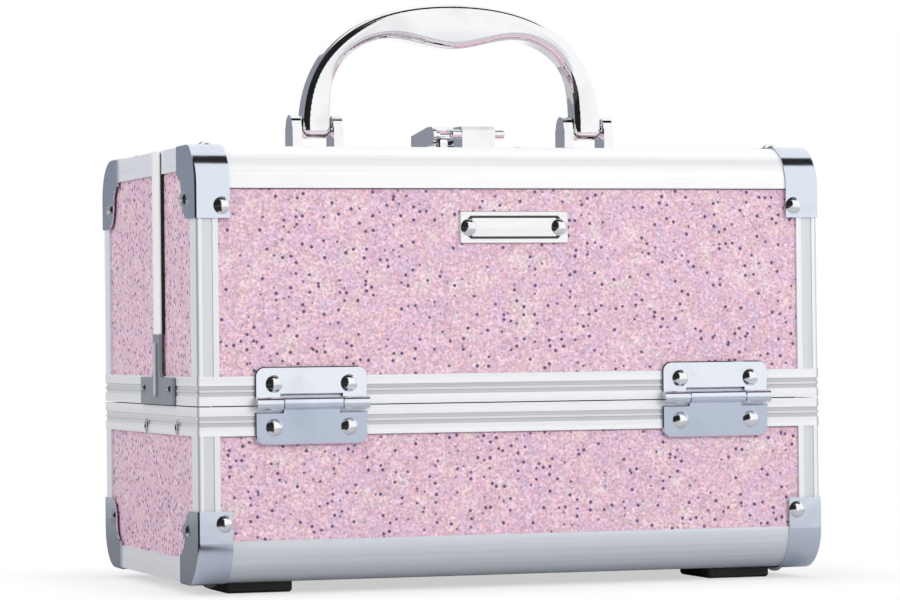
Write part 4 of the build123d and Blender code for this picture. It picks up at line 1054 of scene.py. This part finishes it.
def photo_camera(scene, look):
    """Camera at the photograph's viewing angle"""
    camera = bpy.data.cameras.new("photo_camera")
    camera.lens = look.lens
    camera.sensor_fit = "HORIZONTAL"
    camera.sensor_width = 36.0
    camera.clip_start = 0.01
    camera.clip_end = 50.0
    holder = bpy.data.objects.new("photo_camera", camera)
    scene.collection.objects.link(holder)
    holder.matrix_world = (
        Matrix.Translation(look.camera_place)
        @ Matrix.Rotation(look.camera_turn, 4, "Z")
        @ Matrix.Rotation(math.radians(90) + look.camera_tilt, 4, "X")
        @ Matrix.Rotation(look.camera_roll, 4, "Z")
    )
    scene.camera = holder


class TRAINCASE_OT_stage(bpy.types.Operator):
    """Set the floor, the lamps and the camera"""

    bl_idname = "traincase.stage"
    bl_label = "Studio"

    def execute(self, context):
        scene = context.scene
        look = scene.train_case_studio
        scene.view_settings.view_transform = "Standard"
        studio_room(scene, look)
        pale_floor(look)
        soft_lamp("key", KEY_LAMP, look.key_power)
        soft_lamp("top", TOP_LAMP, look.top_power)
        soft_lamp("fill", FILL_LAMP, look.fill_power)
        photo_camera(scene, look)
        return {"FINISHED"}


# Add-on

class TRAINCASE_PT_panel(bpy.types.Panel):
    """Steps and settings of the train case"""

    bl_label = "Train case"
    bl_space_type = "VIEW_3D"
    bl_region_type = "UI"
    bl_category = "Train case"

    def draw(self, context):
        for operator in OPERATORS:
            self.layout.operator(operator.bl_idname)
        for name, group in GROUPS.items():
            box = self.layout.box()
            for setting in group.__annotations__:
                box.prop(getattr(context.scene, name), setting)


OPERATORS = [
    TRAINCASE_OT_glitter_panels,
    TRAINCASE_OT_profiles,
    TRAINCASE_OT_fittings,
    TRAINCASE_OT_name_plate,
    TRAINCASE_OT_linings,
    TRAINCASE_OT_seam_shadow_seal,
    TRAINCASE_OT_inside,
    TRAINCASE_OT_stage,
]
GROUPS = {
    "train_case_glitter": TrainCaseGlitter,
    "train_case_metal": TrainCaseMetal,
    "train_case_inside": TrainCaseInside,
    "train_case_studio": TrainCaseStudio,
}


def register():
    for name, group in GROUPS.items():
        bpy.utils.register_class(group)
        setattr(bpy.types.Scene, name, PointerProperty(type=group))
    for operator in OPERATORS:
        bpy.utils.register_class(operator)
    bpy.utils.register_class(TRAINCASE_PT_panel)


def unregister():
    bpy.utils.unregister_class(TRAINCASE_PT_panel)
    for operator in reversed(OPERATORS):
        bpy.utils.unregister_class(operator)
    for name, group in GROUPS.items():
        delattr(bpy.types.Scene, name)
        bpy.utils.unregister_class(group)


def main():
    register()
    bpy.ops.traincase.glitter_panels()
    bpy.ops.traincase.profiles()
    bpy.ops.traincase.fittings()
    bpy.ops.traincase.name_plate()
    bpy.ops.traincase.linings()
    bpy.ops.traincase.seam_seal()
    bpy.ops.traincase.inside()
    bpy.ops.traincase.stage()


if __name__ == "__main__":
    main()
